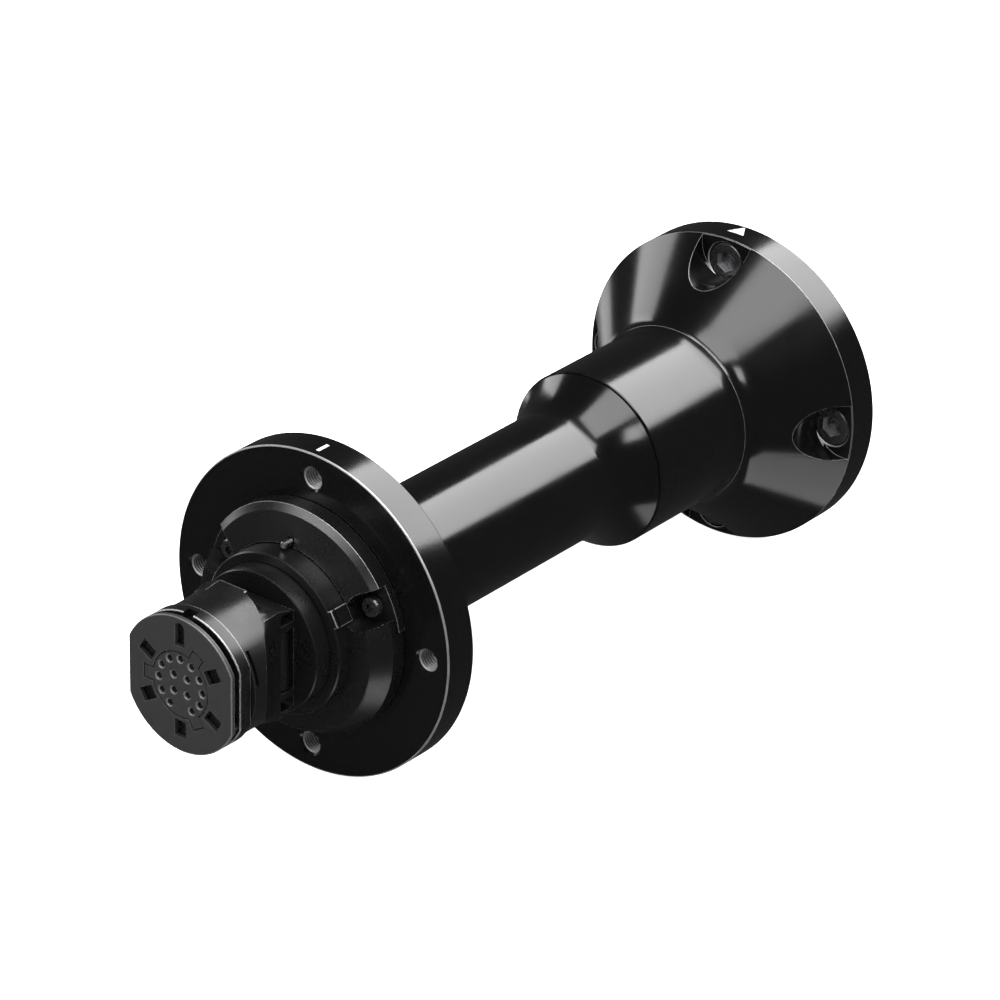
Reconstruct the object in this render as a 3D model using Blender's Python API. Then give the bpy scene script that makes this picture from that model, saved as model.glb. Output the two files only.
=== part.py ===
"""Quick-release shaft extension for a racing-wheel base.

The shaft runs along Y. The rear bell bolts to the wheel base and its face is the plane y = 0, with the
origin at its centre. The steering wheel goes on the nose, which points to -Y. +Z is 12 o'clock.
"""

import math

import bmesh
import bpy
from mathutils import Matrix, Vector

# Fits
GAP = 0.0003
OVERCUT = 0.002
SINK = 0.001
BIG_STEPS = 48
MID_STEPS = 32
SMALL_STEPS = 16
TINY_STEPS = 8

# Screws
KEY_SIDES = 6
SCREW_BEVEL = 0.12
SMALL_KEY_SHARE = 0.45
SMALL_KEY_DEPTH_SHARE = 0.5

# Flanges, both on the same bolt circle
FLANGE_RADIUS = 0.0415
FLANGE_EDGE = 0.0005
FRONT_FLANGE_THICKNESS = 0.0091
REAR_RIM_THICKNESS = 0.0093
REACH = 0.1700
BOLT_CIRCLE_RADIUS = 0.035
BOLT_COUNT = 4
TAP_RADIUS = 0.0026
TAP_CHAMFER = 0.0006

# Shaft tube
TUBE_RADIUS = 0.0169
TUBE_WALL = 0.0039
TUBE_SOCKET_DEPTH = 0.0046

# Sleeve and the shoulder in front of it
SLEEVE_RADIUS = 0.0231
SLEEVE_FRONT = -0.0650
SLEEVE_FLARE_START = -0.0345
SLEEVE_FLARE_RADIUS = 0.0236
SLEEVE_REAR = -0.0310
SLEEVE_SPIGOT_WALL = 0.0036
SHOULDER_RADIUS = 0.0226
SHOULDER_LENGTH = 0.0127
SHOULDER_LIP = 0.0001
SHOULDER_CURVE = 1.75

# Rear bell
CONE_FRONT_RADIUS = 0.0263
CONE_FRONT = -0.0258
POCKET_RADIUS = 0.0075
POCKET_CENTRE = 0.0385
POCKET_LAND = 0.0002
SCREW_HEAD_RADIUS = 0.0050
SCREW_HEAD_HEIGHT = 0.0029
SCREW_SHANK_RADIUS = 0.0030
SCREW_SEAT = -0.0062
SCREW_HEX_RADIUS = 0.0029
SCREW_HEX_DEPTH = 0.0020

# Socket inside the bell, which clears a nose like this object's own
SOCKET_CLEARANCE = 0.0004
SOCKET_END_CLEARANCE = 0.0017

# Collar at the foot of the nose
COLLAR_BASE_RADIUS = 0.0286
COLLAR_BASE_HEIGHT = 0.0042
COLLAR_SHOULDER_RADIUS = 0.0262
COLLAR_SHOULDER_HEIGHT = 0.0096
COLLAR_ROUNDING = 0.0010
COLLAR_RING_RADIUS = 0.0203
COLLAR_HEIGHT = 0.0135
COLLAR_BORE = 0.0133
COLLAR_SPLIT_Z = 0.0114
COVER_RADIUS = 0.0293
COVER_RIM_HEIGHT = 0.0043
COVER_BEVEL_RADIUS = 0.0275
COVER_BEVEL_HEIGHT = 0.0054
COVER_HEIGHT = 0.0076
COVER_EAR_HEIGHT = 0.0023
COVER_EAR_Z = 0.0060
COVER_SCREW_RADIUS = 0.0240
COVER_SCREW_ANGLE = math.radians(63.5)
COVER_SCREW_POCKET = 0.0041
COVER_SCREW_HEAD_RADIUS = 0.0026
COVER_SCREW_HEAD_HEIGHT = 0.0019
COVER_SCREW_SHANK = 0.0014
COVER_SCREW_LENGTH = 0.0065
ALIGNMENT_PIN_RADIUS = 0.0009
ALIGNMENT_PIN_CHAMFER = 0.00027
ALIGNMENT_PIN_AXIS = 0.0216
ALIGNMENT_PIN_LENGTH = 0.0080
ALIGNMENT_PIN_TIP = 0.0100

# Nose: boss, locking block, neck and round stem, as heights above the front flange
BOSS_RADIUS = 0.0178
BOSS_HEIGHT = 0.0185
BLOCK_HALF_WIDTH = 0.0111
BLOCK_FRONT_HALF = 0.0139
BLOCK_REAR_HALF = 0.0122
BLOCK_HEIGHT = 0.0237
NECK_TOP_HEIGHT = 0.0256
NECK_SIDE_HEIGHT = 0.0346
STEM_RADIUS = 0.0167
STEM_HEIGHT = 0.0384
NOSE_SPIGOT_RADIUS = 0.0130
CABLE_BORE = 0.0042
RAMP_LEFT = -0.0077
RAMP_RIGHT = 0.0007
RAMP_REAR_Z = 0.0155
RAMP_FRONT_Z = 0.0142
RAMP_FRONT_HEIGHT = 0.0350
RAMP_LAND = 0.0007

# Locking rollers in the sides of the block
ROLLER_RADIUS = 0.0019
ROLLER_HALF_LENGTH = 0.0076
ROLLER_BORE = 0.0011
ROLLER_PIN_RADIUS = 0.0008
ROLLER_PIN_HALF_LENGTH = 0.0092
ROLLER_X = 0.0090
ROLLER_WALL = 0.0018
RECESS_HALF_WIDTH = 0.0022
RECESS_END = 0.0126
RECESS_END_FLOOR = 0.0080

# Contact head
HEAD_RADIUS = 0.01726
HEAD_FLAT = 0.0157
RING_HEIGHT = 0.0424
RING_SPIGOT_RADIUS = 0.0146
RING_BORE = 0.0090
PLATE_REAR_HEIGHT = 0.0441
HEAD_HEIGHT = 0.0453
HEAD_NOTCH_WIDTH = 0.0030
HEAD_NOTCH_HEIGHT = 0.0404
INSERT_RADIUS = 0.0082
INSERT_KEY_REACH = 0.0108
INSERT_KEY_WIDTH = 0.0032
INSERT_KEY_ANGLES = (30, 150, 270)
INSERT_REAR_HEIGHT = 0.0430
INSERT_DROP = 0.0001
PAD_INNER = 0.0092
PAD_OUTER = 0.0135
PAD_WIDTH = 0.0034
PAD_TOP_WIDTH = 0.0028
PAD_TOP_INNER = 0.0100
PAD_TOP_OUTER = 0.0160
CONTACT_RING_RADIUS = 0.0066
CONTACT_SQUARE = 0.00205
CONTACT_HOLE = 0.00078
CONTACT_PAD_RADIUS = 0.0005
CONTACT_PAD_DROP = 0.0009
BOARD_THICKNESS = 0.0012

# Rear contacts
HOUSING_THICKNESS = 0.0045
SPRING_PIN_RADIUS = 0.0005
SPRING_PIN_HOLE = 0.00082
SPRING_PIN_LENGTH = 0.0052
SPRING_PIN_STAND = 0.0026
SPRING_PIN_TRAVEL = 0.0010
HOUSING_SCREW_ANGLES = (60, 180, 300)
HOUSING_SCREW_EDGE = 0.00115
HOUSING_SCREW_HEAD = 0.0022
HOUSING_SCREW_HEAD_HEIGHT = 0.0020
HOUSING_SCREW_SHANK = 0.0011
HOUSING_SCREW_LENGTH = 0.0060
REAR_BOARD_INSET = 0.0020
CABLE_RADIUS = 0.0018
CABLE_WAVE = 0.0028
CABLE_POINTS = 24

# Places that follow from the sizes
FRONT_FACE = -REACH
FLANGE_BACK = FRONT_FACE + FRONT_FLANGE_THICKNESS
TUBE_FRONT = FLANGE_BACK - TUBE_SOCKET_DEPTH
SOCKET_END = -(HEAD_HEIGHT + SOCKET_END_CLEARANCE)
HOUSING_REAR = SOCKET_END
HOUSING_FRONT = HOUSING_REAR - HOUSING_THICKNESS
TUBE_REAR = HOUSING_FRONT - 2 * GAP
SOCKET_WIDE_RADIUS = COVER_RADIUS + SOCKET_CLEARANCE
SOCKET_MID_RADIUS = COLLAR_SHOULDER_RADIUS + SOCKET_CLEARANCE
SOCKET_NARROW_RADIUS = BOSS_RADIUS + 2 * SOCKET_CLEARANCE
SOCKET_WIDE_DEPTH = COVER_BEVEL_HEIGHT + GAP
SOCKET_MID_DEPTH = COLLAR_HEIGHT + 2 * SOCKET_CLEARANCE
SPIGOT_RADIUS = SOCKET_NARROW_RADIUS + SLEEVE_SPIGOT_WALL
HOUSING_RADIUS = SOCKET_NARROW_RADIUS - GAP
HOUSING_SCREW_CIRCLE = min(
    TUBE_RADIUS - TUBE_WALL / 2,
    HOUSING_RADIUS - HOUSING_SCREW_HEAD - HOUSING_SCREW_EDGE,
)
TUBE_BORE = HOUSING_SCREW_CIRCLE - TUBE_WALL / 2
REAR_BOARD_RADIUS = TUBE_BORE - REAR_BOARD_INSET


def front(height):
    """The y of a point that stands this high above the front flange."""
    return FRONT_FACE - height


def clock(radius, degrees, y=0.0):
    """A point at a clock angle, which runs clockwise from 12 as seen from the front."""
    angle = math.radians(degrees)
    return Vector((radius * math.sin(angle), y, radius * math.cos(angle)))


def contact_places():
    """The fifteen contacts: eleven on a ring, with 6 o'clock left out, and four in a square."""
    ring = [clock(CONTACT_RING_RADIUS, 30 * hour) for hour in range(12) if hour != 6]
    sides = (-CONTACT_SQUARE, CONTACT_SQUARE)
    square = [Vector((x, 0, z)) for x in sides for z in sides]
    return ring + square


def material(name, colour, roughness, metallic):
    found = bpy.data.materials.new(name)
    found.use_nodes = True
    shader = found.node_tree.nodes["Principled BSDF"]
    shader.inputs["Base Color"].default_value = (*colour, 1.0)
    shader.inputs["Roughness"].default_value = roughness
    shader.inputs["Metallic"].default_value = metallic
    return found


def place(name, mesh, finish=None):
    thing = bpy.data.objects.new(name, mesh)
    bpy.context.scene.collection.objects.link(thing)
    if finish:
        mesh.materials.append(finish)
    return thing


def mesh_from(name, bm, smooth=True):
    bmesh.ops.remove_doubles(bm, verts=bm.verts, dist=1e-7)
    bmesh.ops.recalc_face_normals(bm, faces=bm.faces)
    mesh = bpy.data.meshes.new(name)
    bm.to_mesh(mesh)
    bm.free()
    if smooth:
        mesh.shade_smooth()
        mesh.set_sharp_from_angle(angle=math.radians(35))
    return mesh


def turned_mesh(name, profile, steps):
    """Spins a closed profile of (y, radius) points about the Y axis."""
    bm = bmesh.new()
    points = [bm.verts.new((radius, y, 0)) for y, radius in profile]
    edges = [bm.edges.new((points[i - 1], points[i])) for i in range(len(points))]
    edges = [edge for edge in edges if any(v.co.x > 1e-9 for v in edge.verts)]
    bmesh.ops.spin(
        bm, geom=points + edges, cent=(0, 0, 0), axis=(0, 1, 0), angle=math.tau, steps=steps, use_merge=True
    )
    bmesh.ops.remove_doubles(bm, verts=bm.verts, dist=1e-7)
    loose = [edge for edge in bm.edges if not edge.link_faces]
    bmesh.ops.delete(bm, geom=loose, context="EDGES")
    return mesh_from(name, bm)


def prism_mesh(name, outline, start, end, axis="Y"):
    """Extrudes an outline of two-part points along Y, as (x, z), or along X, as (y, z)."""
    bm = bmesh.new()
    if axis == "Y":
        points = [bm.verts.new((u, start, w)) for u, w in outline]
        move = Vector((0, end - start, 0))
    else:
        points = [bm.verts.new((start, u, w)) for u, w in outline]
        move = Vector((end - start, 0, 0))
    face = bm.faces.new(points)
    extruded = bmesh.ops.extrude_face_region(bm, geom=[face])
    moved = [item for item in extruded["geom"] if isinstance(item, bmesh.types.BMVert)]
    bmesh.ops.translate(bm, verts=moved, vec=move)
    return mesh_from(name, bm)


def lofted_mesh(name, rings):
    """Joins rings of points, one after the other, and closes both ends."""
    bm = bmesh.new()
    loops = []
    for ring in rings:
        points = [bm.verts.new(point) for point in ring]
        loops.append([bm.edges.new((points[i - 1], points[i])) for i in range(len(points))])
    for first, second in zip(loops, loops[1:]):
        bmesh.ops.bridge_loops(bm, edges=first + second)
    for loop in (loops[0], loops[-1]):
        bmesh.ops.holes_fill(bm, edges=loop, sides=0)
    flat = math.radians(0.5)
    bmesh.ops.dissolve_limit(bm, angle_limit=flat, verts=bm.verts, edges=bm.edges)
    bmesh.ops.triangulate(bm, faces=bm.faces)
    return mesh_from(name, bm)


def turned(name, profile, finish, steps=BIG_STEPS):
    return place(name, turned_mesh(name, profile, steps), finish)


def guide(thing):
    thing.hide_render = True
    thing.display_type = "WIRE"
    return thing


def combine(target, other, operation):
    guide(other)
    step = target.modifiers.new(other.name, "BOOLEAN")
    step.operation = operation
    step.solver = "EXACT"
    step.object = other


def cut(target, other):
    combine(target, other, "DIFFERENCE")


def weld(target, other):
    combine(target, other, "UNION")


def turned_cutter(name, profile, centre, steps=SMALL_STEPS):
    """A turned cutter whose corners are set half a step off the upright, away from its neighbours'."""
    cutter = place(name, turned_mesh(name, profile, steps))
    cutter.location = centre
    cutter.rotation_euler = (0, math.pi / steps, 0)
    return guide(cutter)


def round_cutter(name, radius, start, end, centre=(0, 0, 0), steps=SMALL_STEPS):
    return turned_cutter(name, [(start, 0), (start, radius), (end, radius), (end, 0)], centre, steps)


def box_outline(left, right, low, high):
    return [(left, low), (right, low), (right, high), (left, high)]


def arc(radius, start, end, steps, centre=(0.0, 0.0)):
    """Points on an arc, with angles in degrees from the first axis towards the second."""
    points = []
    for i in range(steps + 1):
        angle = math.radians(start + (end - start) * i / steps)
        points.append((centre[0] + radius * math.cos(angle), centre[1] + radius * math.sin(angle)))
    return points


def flatted_outline(radius, flat, steps=24):
    """A circle with two upright flats, one on each side."""
    end = math.degrees(math.acos(flat / radius))
    return arc(radius, end, 180 - end, steps) + arc(radius, 180 + end, 360 - end, steps)


def turned_point(x, z, turn):
    """A point turned clockwise about the shaft's axis, as seen from the front."""
    return x * math.cos(turn) + z * math.sin(turn), z * math.cos(turn) - x * math.sin(turn)


def slot_outline(width, inner, outer, degrees, steps=8):
    """A radial slot, square at its inner end and rounded at its outer end."""
    half = width / 2
    points = [(-half, inner), (half, inner)] + arc(half, 0, 180, steps, (0.0, outer - half))
    turn = math.radians(degrees)
    return [turned_point(x, z, turn) for x, z in points]


def radial_box(inner, outer, width, degrees):
    half = width / 2
    turn = math.radians(degrees)
    return [turned_point(x, z, turn) for x, z in box_outline(-half, half, inner, outer)]


def cover_screw_places():
    angle = math.degrees(COVER_SCREW_ANGLE)
    return {"right": clock(COVER_SCREW_RADIUS, angle), "left": clock(COVER_SCREW_RADIUS, -angle)}


def make_front_flange(finish):
    edge = FLANGE_EDGE
    flange = turned(
        "front_flange",
        [
            (FLANGE_BACK, TUBE_RADIUS + GAP),
            (FLANGE_BACK, FLANGE_RADIUS - edge),
            (FLANGE_BACK - edge, FLANGE_RADIUS),
            (FRONT_FACE + edge, FLANGE_RADIUS),
            (FRONT_FACE, FLANGE_RADIUS - edge),
            (FRONT_FACE, NOSE_SPIGOT_RADIUS + GAP),
            (TUBE_FRONT - GAP, NOSE_SPIGOT_RADIUS + GAP),
            (TUBE_FRONT - GAP, TUBE_RADIUS + GAP),
        ],
        finish,
    )
    for i in range(BOLT_COUNT):
        profile = [
            (FRONT_FACE - OVERCUT, 0),
            (FRONT_FACE - OVERCUT, TAP_RADIUS + TAP_CHAMFER + OVERCUT),
            (FRONT_FACE + TAP_CHAMFER, TAP_RADIUS),
            (FLANGE_BACK + OVERCUT, TAP_RADIUS),
            (FLANGE_BACK + OVERCUT, 0),
        ]
        spot = clock(BOLT_CIRCLE_RADIUS, 360 * i / BOLT_COUNT)
        cut(flange, turned_cutter(f"tap_cutter_{i}", profile, spot))
    for side, spot in cover_screw_places().items():
        depth = COVER_SCREW_LENGTH - COVER_EAR_HEIGHT + GAP
        radius = COVER_SCREW_SHANK + GAP
        ends = FRONT_FACE - OVERCUT, FRONT_FACE + depth
        cut(flange, round_cutter(f"cover_tap_{side}", radius, *ends, spot, TINY_STEPS))
    return flange


def make_shaft_tube(finish):
    tube = turned(
        "shaft_tube",
        [
            (TUBE_FRONT, TUBE_BORE),
            (TUBE_FRONT, TUBE_RADIUS),
            (TUBE_REAR, TUBE_RADIUS),
            (TUBE_REAR, TUBE_BORE),
        ],
        finish,
    )
    depth = HOUSING_SCREW_LENGTH - (HOUSING_THICKNESS - HOUSING_SCREW_HEAD_HEIGHT) + GAP
    for i, degrees in enumerate(HOUSING_SCREW_ANGLES):
        spot = clock(HOUSING_SCREW_CIRCLE, degrees)
        radius = HOUSING_SCREW_SHANK + GAP
        ends = TUBE_REAR - depth, TUBE_REAR + OVERCUT
        cut(tube, round_cutter(f"tube_tap_{i}", radius, *ends, spot, TINY_STEPS))
    return tube


def make_shoulder_collar(finish):
    """The flared shoulder between the tube and the sleeve, which steepens towards the sleeve."""
    rear = SLEEVE_FRONT - GAP
    inner = TUBE_RADIUS + GAP
    lip = inner + SHOULDER_LIP
    steps = 10
    profile = []
    for i in range(steps + 1):
        share = i / steps
        y = rear - SHOULDER_LENGTH * (1 - share)
        profile.append((y, lip + (SHOULDER_RADIUS - lip) * share**SHOULDER_CURVE))
    return turned("shoulder_collar", [(profile[0][0], inner)] + profile + [(rear, inner)], finish)


def make_rear_sleeve(finish):
    narrow = SOCKET_NARROW_RADIUS
    end = -SOCKET_MID_DEPTH - GAP
    steps = 6
    flare = []
    for i in range(steps + 1):
        share = i / steps
        y = SLEEVE_FLARE_START + (SLEEVE_REAR - SLEEVE_FLARE_START) * share
        flare.append((y, SLEEVE_RADIUS + (SLEEVE_FLARE_RADIUS - SLEEVE_RADIUS) * share**2))
    return turned(
        "rear_sleeve",
        [(SLEEVE_FRONT, TUBE_RADIUS + GAP), (SLEEVE_FRONT, SLEEVE_RADIUS - FLANGE_EDGE)]
        + [(SLEEVE_FRONT + FLANGE_EDGE, SLEEVE_RADIUS)]
        + flare
        + [(SLEEVE_REAR, SPIGOT_RADIUS), (end, SPIGOT_RADIUS), (end, narrow)]
        + [(HOUSING_FRONT - GAP, narrow), (HOUSING_FRONT - GAP, TUBE_RADIUS + GAP)],
        finish,
    )


def pocket_outline():
    """A U that opens outwards at 12 o'clock."""
    rounded = arc(POCKET_RADIUS, 180, 360, 14, (0.0, POCKET_CENTRE))
    top = FLANGE_RADIUS + OVERCUT
    return rounded + [(POCKET_RADIUS, top), (-POCKET_RADIUS, top)]


def make_rear_bell(finish):
    edge = FLANGE_EDGE
    cone_rear = -REAR_RIM_THICKNESS
    root = SLEEVE_REAR + GAP
    rise = CONE_FRONT_RADIUS - SLEEVE_FLARE_RADIUS
    lean = (cone_rear - CONE_FRONT) / (FLANGE_RADIUS - CONE_FRONT_RADIUS)
    corner = CONE_FRONT - rise * lean
    steps = 5
    fillet = []
    for i in range(steps + 1):
        share = i / steps
        rest = 1 - share
        y = rest**2 * CONE_FRONT + 2 * rest * share * corner + share**2 * root
        fillet.append((y, SLEEVE_FLARE_RADIUS + rise * rest**2))
    bell = turned(
        "rear_bell_flange",
        [
            (0, SOCKET_WIDE_RADIUS),
            (0, FLANGE_RADIUS - edge),
            (-edge, FLANGE_RADIUS),
            (cone_rear, FLANGE_RADIUS),
        ]
        + fillet
        + [
            (root, SPIGOT_RADIUS + GAP),
            (-SOCKET_MID_DEPTH, SPIGOT_RADIUS + GAP),
            (-SOCKET_MID_DEPTH, SOCKET_MID_RADIUS),
            (-SOCKET_WIDE_DEPTH, SOCKET_MID_RADIUS),
            (-SOCKET_WIDE_DEPTH, SOCKET_WIDE_RADIUS),
        ],
        finish,
    )
    for i in range(BOLT_COUNT):
        degrees = 360 * i / BOLT_COUNT
        floor = cone_rear - POCKET_LAND
        pocket = place(f"pocket_cutter_{i}", prism_mesh("pocket_cutter", pocket_outline(), root, floor))
        pocket.rotation_euler = (0, math.radians(degrees), 0)
        cut(bell, pocket)
        head = SCREW_HEAD_RADIUS + GAP
        shank = SCREW_SHANK_RADIUS + GAP
        stepped = [(floor - OVERCUT, 0), (floor - OVERCUT, head), (SCREW_SEAT, head)]
        stepped += [(SCREW_SEAT, shank), (OVERCUT, shank), (OVERCUT, 0)]
        cut(bell, turned_cutter(f"screw_cutter_{i}", stepped, clock(BOLT_CIRCLE_RADIUS, degrees)))
    return bell


def screw_mesh(name, head_radius, head_height, shank_radius, length, key_radius, key_depth):
    """A screw along Y with its seat at y = 0, its head to -Y and a six-sided key socket."""
    sides = KEY_SIDES
    bevel = SCREW_BEVEL * head_height
    profile = [(-head_height, 0), (-head_height, head_radius - bevel), (-head_height + bevel, head_radius)]
    profile += [(0, head_radius), (0, shank_radius), (length, shank_radius), (length, 0)]
    body = turned_mesh(name, profile, SMALL_STEPS)
    bm = bmesh.new()
    bm.from_mesh(body)
    top = [f for f in bm.faces if f.calc_center_median().y < -head_height + 1e-6 and f.normal.y < -0.9]
    bmesh.ops.delete(bm, geom=top, context="FACES")
    rim = [e for e in bm.edges if e.is_boundary and all(v.co.y < -head_height + 1e-6 for v in e.verts)]
    centre = [v for v in bm.verts if not v.link_faces]
    bmesh.ops.delete(bm, geom=centre, context="VERTS")
    corners = [bm.verts.new(clock(key_radius, 360 * i / sides, -head_height)) for i in range(sides)]
    key = [bm.edges.new((corners[i - 1], corners[i])) for i in range(sides)]
    bmesh.ops.triangle_fill(bm, edges=rim + key, use_beauty=True)
    inner = [f for f in bm.faces if all(v in corners for v in f.verts)]
    bmesh.ops.delete(bm, geom=inner, context="FACES_ONLY")
    floor = [bm.verts.new(v.co + Vector((0, key_depth, 0))) for v in corners]
    for i in range(sides):
        bm.faces.new((corners[i - 1], corners[i], floor[i], floor[i - 1]))
    bm.faces.new(floor)
    return mesh_from(name, bm)


def make_rear_screws(finish):
    length = -SCREW_SEAT - GAP
    mesh = screw_mesh(
        "rear_screw",
        SCREW_HEAD_RADIUS,
        SCREW_HEAD_HEIGHT,
        SCREW_SHANK_RADIUS,
        length,
        SCREW_HEX_RADIUS,
        SCREW_HEX_DEPTH,
    )
    mesh.materials.append(finish)
    for i, side in enumerate(("top", "right", "bottom", "left")):
        screw = place(f"rear_screw_{side}", mesh)
        screw.location = clock(BOLT_CIRCLE_RADIUS, 360 * i / BOLT_COUNT, SCREW_SEAT - GAP)


def cover_profile():
    base = front(GAP)
    inner = COLLAR_RING_RADIUS + GAP
    return [
        (base, inner),
        (base, COVER_RADIUS),
        (front(COVER_RIM_HEIGHT), COVER_RADIUS),
        (front(COVER_BEVEL_HEIGHT), COVER_BEVEL_RADIUS),
        (front(COVER_HEIGHT), inner),
    ]


def screw_pocket(name, spot, seat):
    """The scoop over a cover screw: a round pocket that opens outwards."""
    outward = math.degrees(math.atan2(spot.x, spot.z))
    reach = COVER_RADIUS + OVERCUT - COVER_SCREW_RADIUS
    rounded = arc(COVER_SCREW_POCKET, 180, 360, 12)
    outline = rounded + [(COVER_SCREW_POCKET, reach), (-COVER_SCREW_POCKET, reach)]
    pocket = place(name, prism_mesh(name, outline, seat, front(COLLAR_HEIGHT) - OVERCUT))
    pocket.location = spot
    pocket.rotation_euler = (0, math.radians(outward), 0)
    return pocket


def make_nose_collar(finish):
    """A full ring, with a stepped skirt round its lower part and under the cover's ears."""
    collar = turned(
        "nose_collar",
        [
            (front(GAP), COLLAR_BORE),
            (front(GAP), COLLAR_RING_RADIUS),
            (front(COLLAR_HEIGHT), COLLAR_RING_RADIUS),
            (front(COLLAR_HEIGHT), COLLAR_BORE),
        ],
        finish,
    )
    inner = (COLLAR_BORE + COLLAR_RING_RADIUS) / 2
    round_off = COLLAR_ROUNDING
    skirt_profile = [
        (front(2 * GAP), inner),
        (front(2 * GAP), COLLAR_BASE_RADIUS),
        (front(COLLAR_BASE_HEIGHT), COLLAR_BASE_RADIUS),
        (front(COLLAR_SHOULDER_HEIGHT - round_off), COLLAR_SHOULDER_RADIUS),
        (front(COLLAR_SHOULDER_HEIGHT), COLLAR_SHOULDER_RADIUS - round_off),
        (front(COLLAR_SHOULDER_HEIGHT), inner),
    ]
    skirt = place("collar_skirt", turned_mesh("collar_skirt", skirt_profile, BIG_STEPS))
    outer = COVER_RADIUS + OVERCUT
    upper = prism_mesh(
        "skirt_upper_cutter",
        box_outline(-outer, outer, COLLAR_SPLIT_Z, 2 * outer),
        FRONT_FACE + OVERCUT,
        front(COLLAR_HEIGHT) - OVERCUT,
    )
    cut(skirt, place("skirt_upper_cutter", upper))
    ears = prism_mesh(
        "skirt_ear_cutter",
        box_outline(-2 * outer, 2 * outer, COVER_EAR_Z - GAP, 3 * outer),
        FRONT_FACE + 2 * OVERCUT,
        front(COVER_EAR_HEIGHT + GAP),
    )
    cut(skirt, place("skirt_ear_cutter", ears))
    for side, spot in cover_screw_places().items():
        cut(skirt, screw_pocket(f"skirt_pocket_{side}", spot, FRONT_FACE + OVERCUT))
    weld(collar, skirt)
    return collar


def make_collar_cover(finish):
    cover = turned("collar_cover", cover_profile(), finish)
    outer = COVER_RADIUS + OVERCUT
    low = prism_mesh(
        "cover_low_cutter",
        box_outline(-2 * outer, 2 * outer, -2 * outer, COVER_EAR_Z),
        FRONT_FACE + OVERCUT,
        front(COVER_HEIGHT) - OVERCUT,
    )
    cut(cover, place("cover_low_cutter", low))
    split = prism_mesh(
        "cover_split_cutter",
        box_outline(-3 * outer, 3 * outer, -3 * outer, COLLAR_SPLIT_Z + GAP),
        front(COVER_EAR_HEIGHT),
        front(COVER_HEIGHT) - 2 * OVERCUT,
    )
    cut(cover, place("cover_split_cutter", split))
    for side, spot in cover_screw_places().items():
        cut(cover, screw_pocket(f"cover_pocket_{side}", spot, front(COVER_EAR_HEIGHT)))
        radius = COVER_SCREW_SHANK + GAP
        ends = front(COVER_EAR_HEIGHT + OVERCUT), FRONT_FACE + OVERCUT
        cut(cover, round_cutter(f"cover_hole_{side}", radius, *ends, spot, TINY_STEPS))
    seat = ALIGNMENT_PIN_RADIUS + GAP
    ends = front(COVER_HEIGHT + OVERCUT), FRONT_FACE + OVERCUT
    spot = clock(ALIGNMENT_PIN_AXIS, 0)
    cut(cover, round_cutter("cover_pin_hole", seat, *ends, spot, TINY_STEPS))
    return cover


def make_cover_screws(finish):
    mesh = screw_mesh(
        "cover_screw",
        COVER_SCREW_HEAD_RADIUS,
        COVER_SCREW_HEAD_HEIGHT,
        COVER_SCREW_SHANK,
        COVER_SCREW_LENGTH,
        SMALL_KEY_SHARE * COVER_SCREW_HEAD_RADIUS,
        SMALL_KEY_DEPTH_SHARE * COVER_SCREW_HEAD_HEIGHT,
    )
    mesh.materials.append(finish)
    for side, spot in cover_screw_places().items():
        screw = place(f"cover_screw_{side}", mesh)
        screw.location = spot + Vector((0, front(COVER_EAR_HEIGHT + GAP), 0))


def make_alignment_pin(finish):
    """A dowel along Y at 12 o'clock, in a hole in the cover, that lines the wheel up."""
    chamfer = ALIGNMENT_PIN_CHAMFER
    tip = -ALIGNMENT_PIN_LENGTH
    profile = [(0, 0), (0, ALIGNMENT_PIN_RADIUS), (tip + chamfer, ALIGNMENT_PIN_RADIUS)]
    profile += [(tip, ALIGNMENT_PIN_RADIUS - chamfer), (tip, 0)]
    pin = turned("alignment_pin", profile, finish, TINY_STEPS)
    pin.location = clock(ALIGNMENT_PIN_AXIS, 0, front(ALIGNMENT_PIN_TIP - ALIGNMENT_PIN_LENGTH))
    return pin


def quadrant_ring(point_on_top, point_on_side):
    """Goes once round the shaft: eight points from 12 o'clock to the corner, then eight to 3 o'clock."""
    share = [i / 8 for i in range(8)]
    quarter = [point_on_top(s) for s in share] + [point_on_side(s) for s in share] + [point_on_side(1)]
    right = quarter + [Vector((p.x, p.y, -p.z)) for p in reversed(quarter[:-1])]
    left = [Vector((-p.x, p.y, p.z)) for p in reversed(right[1:-1])]
    return right + left


def block_ring(height, half):
    y = front(height)
    return quadrant_ring(
        lambda s: Vector((BLOCK_HALF_WIDTH * s, y, half)),
        lambda s: Vector((BLOCK_HALF_WIDTH, y, half * (1 - s))),
    )


def neck_ring(top_height, side_height):
    corner = math.atan2(BLOCK_HALF_WIDTH, BLOCK_FRONT_HALF)

    def at(angle):
        height = top_height + (side_height - top_height) * math.sin(angle) ** 2
        return clock(STEM_RADIUS, math.degrees(angle), front(height))

    return quadrant_ring(lambda s: at(corner * s), lambda s: at(corner + (math.pi / 2 - corner) * s))


def recess_cutter(name, side, low, high, floor):
    y = front((BOSS_HEIGHT + BLOCK_HEIGHT) / 2)
    outline = box_outline(y - RECESS_HALF_WIDTH, y + RECESS_HALF_WIDTH, low, high)
    return place(name, prism_mesh(name, outline, side * floor, side * (BOSS_RADIUS + OVERCUT), "X"))


def roller_place(side):
    return Vector((side * ROLLER_X, front((BOSS_HEIGHT + BLOCK_HEIGHT) / 2), 0))


def upright_mesh(name, outer, bore, half_length, steps):
    """A turned piece about Z, with a bore if it has one."""
    profile = [(-half_length, bore), (-half_length, outer), (half_length, outer), (half_length, bore)]
    mesh = turned_mesh(name, profile, steps)
    mesh.transform(Matrix.Rotation(math.pi / 2, 4, "X"))
    return mesh


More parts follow.
